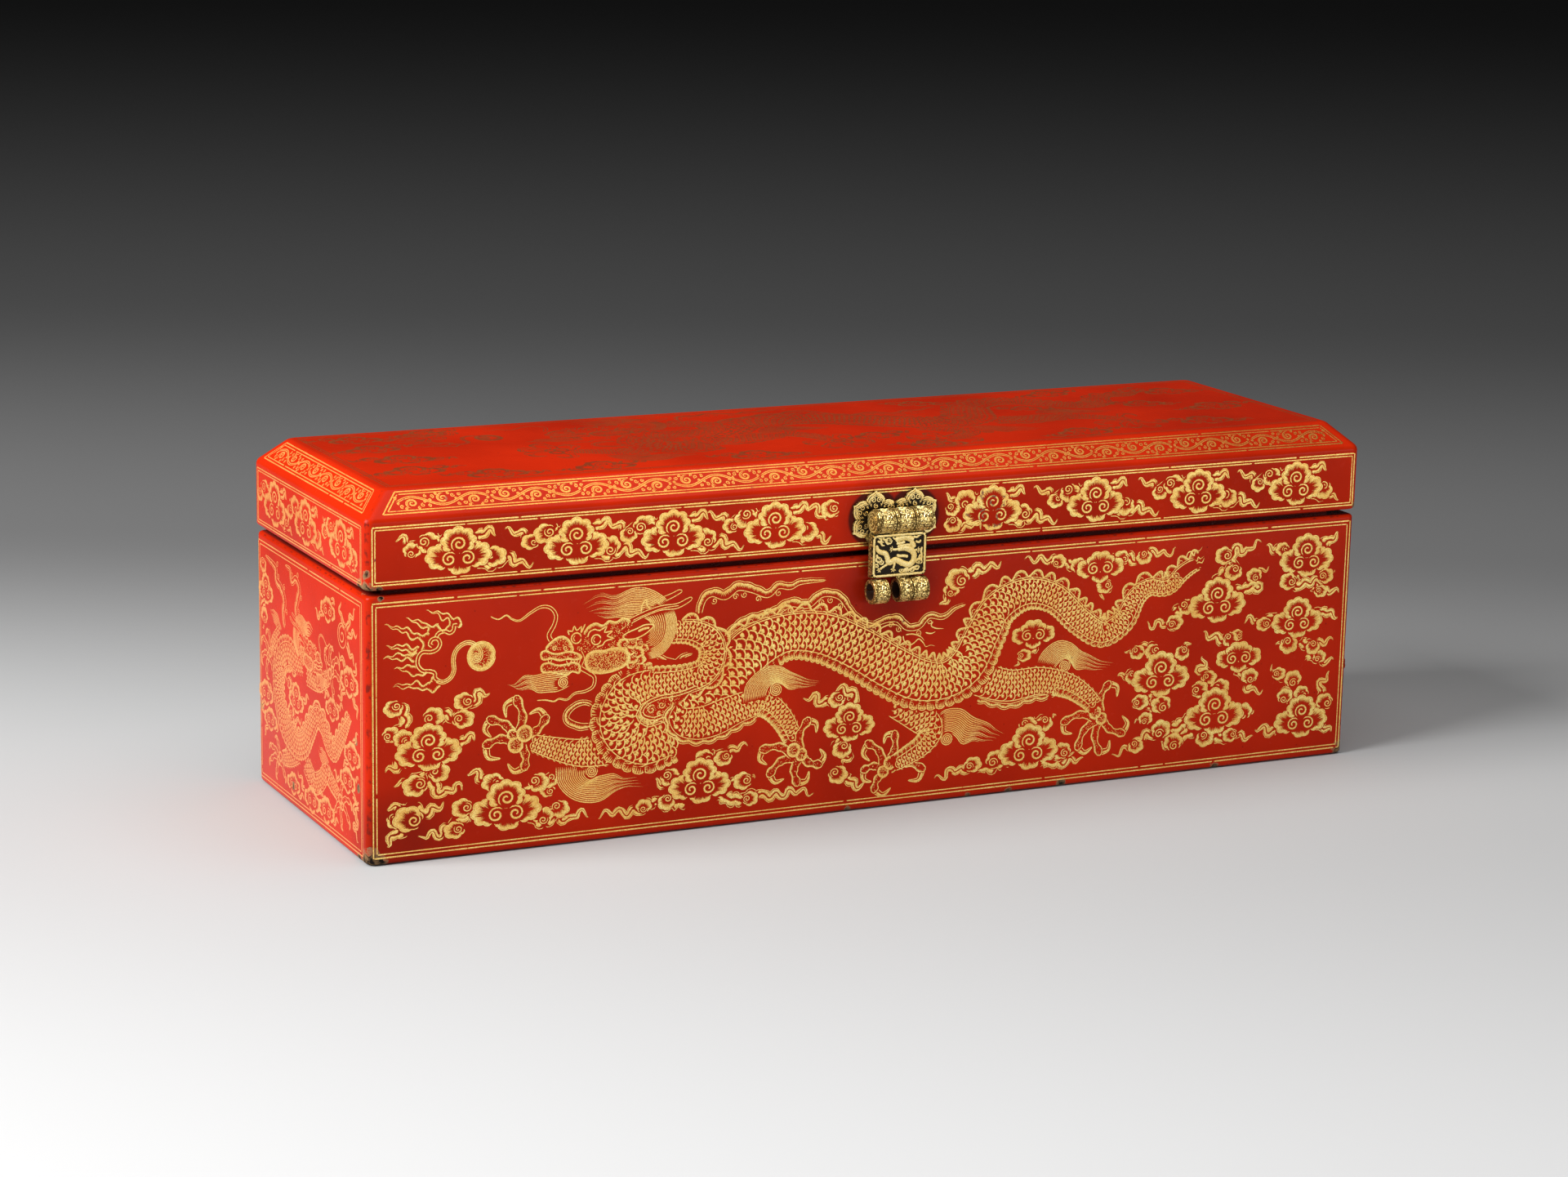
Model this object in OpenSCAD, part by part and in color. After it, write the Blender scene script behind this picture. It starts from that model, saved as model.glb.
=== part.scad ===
// Sutra box: a long lacquered box with a bevelled lid, a rear pair of rosette hinges and a front hasp.
// Units are millimetres. The origin is the middle of the underside of the base.
// +X runs along the long front to the right, +Y to the rear and +Z up.

/* [Base] */
// Length of the base along the front
base_l = 405; // [200:1:600]
// Depth of the base from front to rear
base_d = 121; // [90:0.5:250]
// Height of the base walls
base_h = 96; // [60:0.5:160]
// Thickness of the base walls
wall_t = 8; // [6:0.5:14]
// Thickness of the bottom board
floor_t = 9; // [5:0.5:14]
// How far the bottom board runs into the foot of the walls
floor_rebate = 4; // [1:0.5:5]

/* [Liner] */
// Thickness of the liner boards that stand inside the base
liner_t = 4; // [3:0.5:7]
// Height of the liner above the rim of the base
lip_h = 6; // [4:0.5:12]

/* [Lid] */
// How far the lid overhangs the base on each side
lid_overhang = 0.5; // [0.2:0.1:1]
// Height of the lid from its rim to its top
lid_h = 33.6; // [28:0.2:60]
// Thickness of the lid walls
lid_wall_t = 12; // [10:0.5:16]
// Thickness of the top board
lid_top_t = 11; // [8:0.5:14]
// Width of the bevel, seen from above
bevel_run = 9.4; // [4:0.2:14]
// Height of the bevel
bevel_rise = 9; // [4:0.2:14]
// Depth of the tongue of the top board inside the lid walls
tongue_h = 2; // [1:0.5:4]
// Dark line left open between the two rims
reveal = 2; // [1:0.1:3]
// Play between the lid walls and the lip
lip_clear = 0.6; // [0.3:0.1:1]

/* [Edges] */
// Radius of the upright corners in plan
corner_r = 3; // [1:0.5:6]
// Radius of the rim and foot edges
edge_r = 1.5; // [0.5:0.1:2.5]
// Radius of the edges of the bevel
bevel_r = 3; // [1:0.5:6]

/* [Rosettes] */
// Number of petals
petals = 6; // [5:1:8]
// Radius from the centre of a rosette to a petal tip
rosette_r = 10.5; // [9:0.1:12]
// Radius of the round part of a petal
petal_r = 4; // [3.5:0.1:4.5]
// Distance from the centre of a rosette to the middle of a petal
petal_at = 5.6; // [5:0.1:6]
// Half width of the point of a petal at its root, as a share of the radius
petal_waist = 0.72; // [0.5:0.02:0.8]
// Thickness of the rosette plates
plate_t = 1; // [0.8:0.1:1.4]
// Height of the raised field of a petal
field_t = 0.4; // [0.2:0.1:0.6]
// Width of the border round the raised field
field_rim = 0.7; // [0.4:0.1:1]
// Distance of the two front rosettes from the middle
rosette_x = 8; // [6:0.5:10]

/* [Hasp] */
// Height of the upper knuckle row above the rim of the lid
row_up = 11.8; // [10:0.1:16]
// Distance of the upper knuckle row in front of the lid
row_out = 6; // [5.6:0.1:9]
// Radius of the knuckles
knuckle_r = 4.3; // [3.8:0.1:4.5]
// Length of the middle knuckle of the hasp
middle_l = 7.4; // [5:0.2:9]
// End play of a knuckle between its neighbours
end_play = 0.3; // [0.1:0.05:0.5]
// Radius of the hasp pin
hasp_pin_r = 1.6; // [1:0.1:2]
// Running play of a pin in its knuckles, on the radius
pin_play = 0.06; // [0.02:0.01:0.1]
// Width of the hasp plate
hasp_w = 22; // [18:0.5:26]
// Height of the hasp plate
hasp_h = 16; // [12:0.5:17]
// Thickness of the strap behind the face plate
strap_t = 2.3; // [1.8:0.1:2.6]
// Thickness of the face plate
face_t = 1; // [0.8:0.1:1.4]
// Gap between the lid front and the back of the strap
strap_gap = 1.9; // [1.8:0.1:2.2]
// Side of the notches in the corners of the face plate
notch = 1.6; // [0.8:0.2:2.4]
// Width of the border of the face plate
face_rim = 1.2; // [0.8:0.1:2]
// Depth of the sunk field of the face plate
face_sink = 0.3; // [0.1:0.1:0.5]

/* [Staples] */
// Distance of the lower knuckle row below the rim of the base
staple_down = 12.6; // [11:0.1:20]
// Distance of the lower knuckle row in front of the base
staple_out = 4.7; // [4.7:0.1:7]
// Radius of the bore for a padlock bolt
lock_r = 3; // [2:0.1:3.2]
// Half the length of the lower knuckle row
lock_half = 11.2; // [10:0.2:14]
// Length of each staple
staple_l = 6.3; // [5:0.1:7]
// Length of the lower knuckle of the hasp
lower_l = 5.2; // [3:0.1:6]

/* [Shanks] */
// Width of the two tails that hold a knuckle in its wall
tail_w = 3; // [2:0.2:4]
// Thickness of one tail
tail_t = 0.9; // [0.6:0.1:1]
// Slit between the two tails
slit = 0.5; // [0.3:0.1:0.6]
// Length of a tail bent over behind the wall
clench_l = 5; // [3:0.5:5]
// Play of the tails in their slot and of the shanks of the nails
shank_play = 0.1; // [0.05:0.05:0.2]

/* [Hinges] */
// Distance of each hinge from the middle
hinge_x = 120; // [50:5:130]
// Radius of the hinge knuckles
hinge_r = 3.4; // [3:0.1:3.8]
// Length of one hinge knuckle
hinge_l = 7; // [5:0.5:9]
// Gap between the lid rear and the hinge knuckles
hinge_gap = 0.2; // [0.1:0.1:0.5]
// Radius of the hinge pins
hinge_pin_r = 1.4; // [1:0.1:1.6]
// Distance of each hinge rosette from the hinge axis
leaf_up = 12.8; // [12:0.2:15]
// Radius of the nail shanks
nail_r = 0.7; // [0.5:0.1:0.9]
// Length of the nail shanks
nail_l = 6.5; // [4:0.5:7]
// Radius of the nail heads
nail_head_r = 1.5; // [1.2:0.1:1.8]

/* [Hidden] */
$fn = 64;
eps = 0.01;
lid_l = base_l + 2 * lid_overhang;
lid_d = base_d + 2 * lid_overhang;
lid_z = base_h + reveal;
top_z = lid_z + lid_h;
board_z = top_z - lid_top_t;
base_front = -base_d / 2;
base_rear = base_d / 2;
lid_front = -lid_d / 2;
lid_rear = lid_d / 2;
// Inside of the base walls, which is the outside of the liner
inner_l = base_l - 2 * wall_t;
inner_d = base_d - 2 * wall_t;
floor_l = inner_l + 2 * floor_rebate;
floor_d = inner_d + 2 * floor_rebate;
// Rebate inside the lid rim that drops over the lip
rebate_l = inner_l + 2 * lip_clear;
rebate_d = inner_d + 2 * lip_clear;
rebate_h = lip_h - reveal;
lid_inner_l = lid_l - 2 * lid_wall_t;
lid_inner_d = lid_d - 2 * lid_wall_t;
rosette_t = plate_t + field_t;
row_z = lid_z + row_up;
row_y = lid_front - row_out;
// The upper knuckle row is as long as the hasp plate is wide
row_half = hasp_w / 2;
row_l = row_half - middle_l / 2 - end_play;
staple_z = base_h - staple_down;
staple_y = base_front - staple_out;
// The hasp plate hangs half way between the two knuckle rows
hasp_z = (row_z + staple_z) / 2;
strap_y = lid_front - strap_gap;
face_y = strap_y - strap_t;
hasp_bore = hasp_pin_r + pin_play;
// The lower knuckle of the hasp stands against the right staple
lower_x = lock_half - staple_l - end_play - lower_l;
bead_r = 0.4;
bead_out = 0.25;
bead_step = 2.6 * bead_r;
hinge_y = lid_rear + hinge_gap + hinge_r;
hinge_z = base_h + reveal / 2;
hinge_bore = hinge_pin_r + pin_play;
hinge_step = hinge_l + end_play;
hinge_half = hinge_l * 1.5 + end_play;
nail_at = petal_at + 0.6;

// Direction from one point to another, one unit long
function toward(a, b) = (b - a) / norm(b - a);

// Half the angle between the two sides that meet at a corner
function half_angle(u, v) = acos(u * v) / 2;

// Distance from a corner to the point where its rounding begins
function run_in(r, u, v) = r / tan(half_angle(u, v));

// Middle of the circle that rounds a corner
function round_at(p, u, v, r) = p + (u + v) / norm(u + v) * r / sin(half_angle(u, v));

// Convex outline with each corner rounded to its own radius
module rounded_outline(points, radii) {
    n = len(points);
    polygon([
        for (i = [0 : n - 1])
            let (
                u = toward(points[i], points[(i + n - 1) % n]),
                v = toward(points[i], points[(i + 1) % n]),
                d = run_in(radii[i], u, v)
            )
            each [points[i] + u * d, points[i] + v * d]
    ]);
    for (i = [0 : n - 1]) {
        u = toward(points[i], points[(i + n - 1) % n]);
        v = toward(points[i], points[(i + 1) % n]);
        translate(round_at(points[i], u, v, radii[i]))
            circle(radii[i]);
    }
}

// Plan of a box with rounded upright corners
module plan(l, d) {
    rounded_outline(
        [[-l / 2, -d / 2], [l / 2, -d / 2], [l / 2, d / 2], [-l / 2, d / 2]],
        [corner_r, corner_r, corner_r, corner_r]
    );
}

// Upright section of the base across a width
module base_section(w) {
    rounded_outline(
        [[-w / 2, 0], [w / 2, 0], [w / 2, base_h], [-w / 2, base_h]],
        [edge_r, edge_r, edge_r, edge_r]
    );
}

// Upright section of the lid across a width, with the bevel on both sides
module lid_section(w) {
    rounded_outline(
        [
            [-w / 2, lid_z],
            [w / 2, lid_z],
            [w / 2, top_z - bevel_rise],
            [w / 2 - bevel_run, top_z],
            [bevel_run - w / 2, top_z],
            [-w / 2, top_z - bevel_rise]
        ],
        [edge_r, edge_r, bevel_r, bevel_r, bevel_r, bevel_r]
    );
}

// Solid outer form of the base
module base_form() {
    intersection() {
        linear_extrude(base_h)
            plan(base_l, base_d);
        rotate([90, 0, 90])
            linear_extrude(base_l + 2, center = true)
                base_section(base_d);
        rotate([90, 0, 0])
            linear_extrude(base_d + 2, center = true)
                base_section(base_l);
    }
}

// Solid outer form of the lid
module lid_form() {
    intersection() {
        translate([0, 0, lid_z])
            linear_extrude(lid_h)
                plan(lid_l, lid_d);
        rotate([90, 0, 90])
            linear_extrude(lid_l + 2, center = true)
                lid_section(lid_d);
        rotate([90, 0, 0])
            linear_extrude(lid_d + 2, center = true)
                lid_section(lid_l);
    }
}

// Plan of one of four boards that meet in mitres; side 0 front, 1 rear, 2 left, 3 right
module mitred(l, d, t, side) {
    x = l / 2;
    y = d / 2;
    if (side == 0) polygon([[-x, -y], [x, -y], [x - t, t - y], [t - x, t - y]]);
    if (side == 1) polygon([[x, y], [-x, y], [t - x, y - t], [x - t, y - t]]);
    if (side == 2) polygon([[-x, y], [-x, -y], [t - x, t - y], [t - x, y - t]]);
    if (side == 3) polygon([[x, -y], [x, y], [x - t, y - t], [x - t, t - y]]);
}

// Block centred in plan
module block(l, d, z, h) {
    translate([-l / 2, -d / 2, z])
        cube([l, d, h]);
}

// Outline of one petal on the X axis: a round lobe with a small point
module petal(r, tip) {
    translate([petal_at, 0])
        circle(r);
    polygon([[petal_at, -petal_waist * r], [tip, 0], [petal_at, petal_waist * r]]);
}

// Outline of a rosette, drawn in by an inset
module rosette_outline(inset) {
    for (i = [0 : petals - 1])
        rotate(90 + i * 360 / petals)
            petal(petal_r - inset, rosette_r - 1.3 * inset);
    circle(petal_at - inset);
}

// Rosette plate that faces the front, its back on the plane Y = 0
module rosette_plate() {
    rotate([90, 0, 0])
        linear_extrude(plate_t)
            rosette_outline(0);
    translate([0, -plate_t + eps, 0])
        rotate([90, 0, 0])
            linear_extrude(field_t + eps)
                rosette_outline(field_rim);
}

// Half section of a knuckle with a pair of beads at each end
module knuckle_section(l, r, bore) {
    translate([bore, 0])
        square([r - bore, l]);
    for (y = [bead_r, bead_step, l - bead_step, l - bead_r])
        translate([r + bead_out - bead_r, y])
            circle(bead_r);
}

// Knuckle along X from x = 0
module knuckle(l, r, bore) {
    rotate([90, 0, 90])
        rotate_extrude()
            knuckle_section(l, r, bore);
}

// Slot through a wall for two tails and the pocket behind it; depth is measured from the knuckle axis
module tail_slot(out, depth) {
    w = tail_w + 2 * shank_play;
    h = 2 * tail_t + slit + 2 * shank_play;
    translate([-w / 2, out - 3, -h / 2])
        cube([w, depth - out + 4, h]);
    translate([-w / 2, depth - tail_t - shank_play, -h / 2 - clench_l])
        cube([w, tail_t + shank_play + 1, h + 2 * clench_l]);
}

// Knuckle rolled from a strip whose two tails run back through a wall and are bent over
module rolled_knuckle(l, bore, depth) {
    difference() {
        union() {
            translate([-l / 2, 0, 0])
                knuckle(l, knuckle_r, bore);
            for (s = [-1, 1])
                translate([-tail_w / 2, 0, s * (slit + tail_t) / 2 - tail_t / 2]) {
                    translate([0, knuckle_r - 0.7, 0])
                        cube([tail_w, depth - knuckle_r + 0.7, tail_t]);
                    translate([0, depth - tail_t, s > 0 ? 0 : -clench_l])
                        cube([tail_w, tail_t, tail_t + clench_l]);
                }
        }
        translate([-l / 2 - 1, 0, -slit / 2])
            cube([l + 2, knuckle_r + 1, slit]);
    }
}

// Pin along X, centred, with a stepped head outside each end of a row
module headed_pin(r, half, head_r) {
    rotate([90, 0, 90])
        rotate_extrude()
            polygon([
                [0, -half - 1.4],
                [head_r * 0.45, -half - 1.4],
                [head_r * 0.45, -half - 1.1],
                [head_r * 0.8, -half - 1.1],
                [head_r * 0.8, -half - 0.8],
                [head_r, -half - 0.8],
                [head_r, -half - 0.1],
                [r, -half - 0.1],
                [r, half + 0.1],
                [head_r, half + 0.1],
                [head_r, half + 0.8],
                [head_r * 0.8, half + 0.8],
                [head_r * 0.8, half + 1.1],
                [head_r * 0.45, half + 1.1],
                [head_r * 0.45, half + 1.4],
                [0, half + 1.4]
            ]);
}

// Places on a hinge rosette for its nails; up is 1 for the lid leaf and -1 for the base leaf
function nail_places(up) = [
    for (a = [90, 210, 330])
        [nail_at * cos(a), up * (leaf_up + nail_at * sin(a))]
];

// Nail that goes into the rear wall from behind, its head resting on the plane Y = 0
module nail() {
    rotate([90, 0, 0])
        translate([0, 0, -eps])
            cylinder(h = nail_l + rosette_t, r = nail_r);
    intersection() {
        translate([0, -nail_head_r * 0.6, 0])
            sphere(nail_head_r * 1.16);
        translate([-5, 0, -5])
            cube([10, 5, 10]);
    }
}

// Every nail of one leaf, or the holes for them when grow is above 0
module leaf_nails(up, face, grow) {
    for (p = nail_places(up))
        translate([p[0], 0, hinge_z + p[1]])
            if (grow > 0)
                translate([0, face + rosette_t + 1, 0])
                    rotate([90, 0, 0])
                        cylinder(h = nail_l + rosette_t + 1.2, r = nail_r + grow);
            else
                translate([0, face + rosette_t, 0])
                    nail();
}

// Rosette of a hinge leaf, facing the rear
module leaf_rosette(up, face) {
    translate([0, face, hinge_z + up * leaf_up])
        rotate([0, 0, 180])
            rosette_plate();
}

// Strap from a rosette to a hinge knuckle, from x = 0
module leaf_strap(up, face, l) {
    translate([0, face, up > 0 ? hinge_z : hinge_z - leaf_up + 2])
        cube([l, plate_t, leaf_up - 2]);
}

// Room round the hinge axis for the knuckles of the other leaf, from x = 0
module knuckle_room(l) {
    translate([0, hinge_y, hinge_z])
        rotate([0, 90, 0])
            cylinder(h = l, r = hinge_r + bead_out + 0.4);
}

// Hinge leaf on the base: a rosette and the two outer knuckles
module hinge_base_leaf(x) {
    translate([x, 0, 0]) {
        difference() {
            union() {
                leaf_rosette(-1, base_rear);
                for (s = [-1, 1])
                    translate([s * hinge_step - hinge_l / 2, 0, 0])
                        leaf_strap(-1, base_rear, hinge_l);
            }
            leaf_nails(-1, base_rear, shank_play);
            translate([-hinge_l / 2 - end_play, 0, 0])
                knuckle_room(hinge_l + 2 * end_play);
            translate([-hinge_half - 1, hinge_y, hinge_z])
                rotate([0, 90, 0])
                    cylinder(h = 2 * hinge_half + 2, r = hinge_r - 0.6);
        }
        for (s = [-1, 1])
            translate([s * hinge_step - hinge_l / 2, hinge_y, hinge_z])
                knuckle(hinge_l, hinge_r, hinge_bore);
    }
}

// Hinge leaf on the lid: a rosette and the middle knuckle
module hinge_lid_leaf(x) {
    translate([x, 0, 0]) {
        difference() {
            union() {
                leaf_rosette(1, lid_rear);
                translate([-hinge_l / 2, 0, 0])
                    leaf_strap(1, lid_rear, hinge_l);
            }
            leaf_nails(1, lid_rear, shank_play);
            translate([-hinge_half - 1, hinge_y, hinge_z])
                rotate([0, 90, 0])
                    cylinder(h = 2 * hinge_half + 2, r = hinge_r - 0.6);
        }
        translate([-hinge_l / 2, hinge_y, hinge_z])
            knuckle(hinge_l, hinge_r, hinge_bore);
    }
}

module hinge_pin(x) {
    color("goldenrod")
        translate([x, hinge_y, hinge_z])
            headed_pin(hinge_pin_r, hinge_half, hinge_r - 0.4);
}

// Base wall on one side, with the rebate for the bottom board
module base_wall(side) {
    difference() {
        intersection() {
            base_form();
            translate([0, 0, -1])
                linear_extrude(base_h + 2)
                    mitred(base_l, base_d, wall_t, side);
        }
        block(floor_l, floor_d, -1, floor_t + 1);
    }
}

// Liner board on one side
module liner(side) {
    color("firebrick")
        translate([0, 0, floor_t])
            linear_extrude(base_h + lip_h - floor_t)
                mitred(inner_l, inner_d, liner_t, side);
}

// Lid wall on one side, with the rebate over the lip
module lid_wall(side) {
    difference() {
        intersection() {
            lid_form();
            translate([0, 0, lid_z - 1])
                linear_extrude(board_z - lid_z + 1)
                    mitred(lid_l, lid_d, lid_wall_t, side);
        }
        block(rebate_l, rebate_d, lid_z - 1, rebate_h + 1);
    }
}

module base_bottom_board() {
    color("black")
        block(floor_l, floor_d, 0, floor_t);
}

module base_front_wall() {
    color("firebrick")
        difference() {
            base_wall(0);
            for (s = [-1, 1])
                translate([s * (lock_half - staple_l / 2), staple_y, staple_z])
                    tail_slot(staple_out, staple_out + wall_t);
        }
}

module base_rear_wall() {
    color("firebrick")
        difference() {
            base_wall(1);
            for (s = [-1, 1])
                translate([s * hinge_x, 0, 0])
                    leaf_nails(-1, base_rear, shank_play);
        }
}

module base_left_wall() {
    color("firebrick")
        base_wall(2);
}

module base_right_wall() {
    color("firebrick")
        base_wall(3);
}

module liner_front() {
    liner(0);
}

module liner_rear() {
    liner(1);
}

module liner_left() {
    liner(2);
}

module liner_right() {
    liner(3);
}

// Staple on one side of the lower knuckle row
module staple(s) {
    color("goldenrod")
        translate([s * (lock_half - staple_l / 2), staple_y, staple_z])
            rolled_knuckle(staple_l, lock_r, staple_out + wall_t);
}

module left_staple() {
    staple(-1);
}

module right_staple() {
    staple(1);
}

module left_hinge_base_leaf() {
    color("goldenrod")
        hinge_base_leaf(-hinge_x);
}

module right_hinge_base_leaf() {
    color("goldenrod")
        hinge_base_leaf(hinge_x);
}

module left_hinge_pin() {
    hinge_pin(-hinge_x);
}

module right_hinge_pin() {
    hinge_pin(hinge_x);
}

module base_hinge_nails() {
    color("goldenrod")
        for (s = [-1, 1])
            translate([s * hinge_x, 0, 0])
                leaf_nails(-1, base_rear, 0);
}

// Top board, which carries the bevel and a tongue that drops inside the walls
module lid_top_board() {
    color("red") {
        intersection() {
            lid_form();
            block(lid_l + 2, lid_d + 2, board_z, lid_top_t + 1);
        }
        block(lid_inner_l, lid_inner_d, board_z - tongue_h, tongue_h + 1);
    }
}

module lid_front_wall() {
    color("firebrick")
        difference() {
            lid_wall(0);
            for (s = [-1, 1])
                translate([s * (row_half - row_l / 2), row_y, row_z])
                    tail_slot(row_out, row_out + lid_wall_t);
        }
}

module lid_rear_wall() {
    color("firebrick")
        difference() {
            lid_wall(1);
            for (s = [-1, 1])
                translate([s * hinge_x, 0, 0])
                    leaf_nails(1, lid_rear, shank_play);
        }
}

module lid_left_wall() {
    color("firebrick")
        lid_wall(2);
}

module lid_right_wall() {
    color("firebrick")
        lid_wall(3);
}

// Front rosette on one side, cut off where it meets the other one
module front_rosette(s) {
    color("goldenrod")
        difference() {
            translate([s * rosette_x, lid_front, row_z])
                rosette_plate();
            translate([s > 0 ? -20 + end_play / 2 : -end_play / 2, lid_front - 5, row_z - 20])
                cube([20, 10, 40]);
            translate([s * (row_half - row_l / 2), row_y, row_z])
                tail_slot(row_out, row_out + lid_wall_t);
        }
}

module left_rosette() {
    front_rosette(-1);
}

module right_rosette() {
    front_rosette(1);
}

// Fixed knuckle of the hasp on one side of the middle knuckle
module hasp_knuckle(s) {
    color("goldenrod")
        translate([s * (row_half - row_l / 2), row_y, row_z])
            rolled_knuckle(row_l, hasp_bore, row_out + lid_wall_t);
}

module left_hasp_knuckle() {
    hasp_knuckle(-1);
}

module right_hasp_knuckle() {
    hasp_knuckle(1);
}

module hasp_pin() {
    color("goldenrod")
        translate([0, row_y, row_z])
            headed_pin(hasp_pin_r, row_half, knuckle_r - 0.3);
}

// Strap of the hasp with a knuckle above for its pin and one below for the padlock bolt
module hasp_strap() {
    color("goldenrod")
        difference() {
            union() {
                translate([-hasp_w / 2, face_y, hasp_z - hasp_h / 2])
                    cube([hasp_w, strap_t, hasp_h]);
                translate([-middle_l / 2, face_y, hasp_z])
                    cube([middle_l, strap_t, row_z - hasp_z - hasp_pin_r - 1]);
                translate([lower_x, face_y, staple_z + lock_r + 0.2])
                    cube([lower_l, strap_t, hasp_z - staple_z - lock_r - 0.2]);
                translate([-middle_l / 2, row_y, row_z])
                    knuckle(middle_l, knuckle_r, hasp_bore);
                translate([lower_x, staple_y, staple_z])
                    knuckle(lower_l, knuckle_r, lock_r);
            }
            translate([-hasp_w, row_y, row_z])
                rotate([0, 90, 0])
                    cylinder(h = 2 * hasp_w, r = hasp_bore);
            translate([-hasp_w, staple_y, staple_z])
                rotate([0, 90, 0])
                    cylinder(h = 2 * hasp_w, r = lock_r);
        }
}

// Face plate with notched corners and a sunk field inside its border
module hasp_face_plate() {
    color("gold")
        translate([0, face_y, hasp_z])
            rotate([90, 0, 0])
                difference() {
                    linear_extrude(face_t)
                        difference() {
                            square([hasp_w, hasp_h], center = true);
                            for (x = [-1, 1], y = [-1, 1])
                                translate([x * hasp_w / 2, y * hasp_h / 2])
                                    square(notch, center = true);
                        }
                    translate([0, 0, face_t - face_sink])
                        linear_extrude(1)
                            difference() {
                                square([hasp_w - 2 * face_rim, hasp_h - 2 * face_rim], center = true);
                                for (x = [-1, 1], y = [-1, 1])
                                    translate([x * (hasp_w / 2 - face_rim), y * (hasp_h / 2 - face_rim)])
                                        square(notch, center = true);
                            }
                }
}

module left_hinge_lid_leaf() {
    color("goldenrod")
        hinge_lid_leaf(-hinge_x);
}

module right_hinge_lid_leaf() {
    color("goldenrod")
        hinge_lid_leaf(hinge_x);
}

module lid_hinge_nails() {
    color("goldenrod")
        for (s = [-1, 1])
            translate([s * hinge_x, 0, 0])
                leaf_nails(1, lid_rear, 0);
}

base_bottom_board();
base_front_wall();
base_rear_wall();
base_left_wall();
base_right_wall();
liner_front();
liner_rear();
liner_left();
liner_right();
left_staple();
right_staple();
left_hinge_base_leaf();
right_hinge_base_leaf();
left_hinge_pin();
right_hinge_pin();
base_hinge_nails();
lid_top_board();
lid_front_wall();
lid_rear_wall();
lid_left_wall();
lid_right_wall();
left_rosette();
right_rosette();
left_hasp_knuckle();
right_hasp_knuckle();
hasp_pin();
left_hinge_lid_leaf();
right_hinge_lid_leaf();
lid_hinge_nails();
hasp_strap();
hasp_face_plate();
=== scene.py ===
# %% [markdown]
# # A lacquered sutra box
#
# The box is a long chest of thin boards under red lacquer. Gold is laid into lines that were cut in
# the lacquer: a dragon among clouds on each side. The metalwork on the front is iron inlaid with gold.
#
# The solids come from the CAD frame, in metres. This lesson dresses them: it models the lacquer skins,
# draws the gold with curves that become thin meshes, and gives every piece a procedural material.

import math
import random

import bpy
from mathutils import Matrix, Vector


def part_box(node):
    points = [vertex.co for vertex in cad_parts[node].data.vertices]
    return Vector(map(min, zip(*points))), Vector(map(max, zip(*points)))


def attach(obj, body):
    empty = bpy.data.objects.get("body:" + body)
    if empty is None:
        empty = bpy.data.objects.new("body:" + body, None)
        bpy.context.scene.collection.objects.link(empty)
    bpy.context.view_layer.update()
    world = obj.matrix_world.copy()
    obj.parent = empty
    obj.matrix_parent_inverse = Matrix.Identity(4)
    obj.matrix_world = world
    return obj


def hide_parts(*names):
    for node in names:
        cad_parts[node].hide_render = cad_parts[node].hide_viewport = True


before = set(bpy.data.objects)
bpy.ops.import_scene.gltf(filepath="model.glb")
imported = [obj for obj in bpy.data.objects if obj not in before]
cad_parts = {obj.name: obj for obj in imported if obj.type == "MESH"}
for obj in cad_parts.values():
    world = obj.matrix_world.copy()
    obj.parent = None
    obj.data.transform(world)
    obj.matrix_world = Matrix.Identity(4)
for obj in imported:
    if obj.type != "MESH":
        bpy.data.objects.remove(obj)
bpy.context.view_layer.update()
MM = 0.001


def span(*nodes):
    """Lowest and highest corner of several CAD nodes together, in millimetres."""
    boxes = [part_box(node) for node in nodes]
    low = [min(box[0][i] for box in boxes) / MM for i in range(3)]
    high = [max(box[1][i] for box in boxes) / MM for i in range(3)]
    return Vector(low), Vector(high)


SIDES = ("front", "rear", "left", "right")
BASE_BOARDS = [f"base_{side}_wall" for side in SIDES] + ["base_bottom_board"]
LID_BOARDS = [f"lid_{side}_wall" for side in SIDES] + ["lid_top_board"]
base_low, base_high = span(*BASE_BOARDS)
lid_low, lid_high = span(*LID_BOARDS)
BASE_L, BASE_D, BASE_H = base_high - base_low
LID_L, LID_D, LID_H = lid_high - lid_low
print(f"base {BASE_L:.1f} x {BASE_D:.1f} x {BASE_H:.1f} mm, lid {LID_L:.1f} x {LID_D:.1f} x {LID_H:.1f} mm")

# %% [markdown]
# ## Camera
#
# The camera stands to the left of the front and a little above it. Its place, direction and lens were
# worked out from the edges of the box, so the corners fall where they do in the photograph.

# %% Camera
CAMERA_AT = Vector((-615.7, -1233.7, 382.2))
CAMERA_FORWARD = Vector((0.42742, 0.87661, -0.22105))
CAMERA_UP = Vector((0.07932, 0.20721, 0.97508))
CAMERA_LENS = 85.2

camera_data = bpy.data.cameras.new("camera")
camera_data.sensor_width = 36
camera_data.sensor_fit = "HORIZONTAL"
camera_data.lens = CAMERA_LENS
camera = bpy.data.objects.new("camera", camera_data)
bpy.context.scene.collection.objects.link(camera)
camera_right = CAMERA_FORWARD.cross(CAMERA_UP).normalized()
camera_turn = Matrix((camera_right, camera_right.cross(CAMERA_FORWARD), -CAMERA_FORWARD)).transposed()
camera.matrix_world = Matrix.Translation(CAMERA_AT * MM) @ camera_turn.to_4x4()
bpy.context.scene.camera = camera
print(f"camera {CAMERA_AT.length / 1000:.2f} m from the box, lens {CAMERA_LENS} mm")

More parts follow.
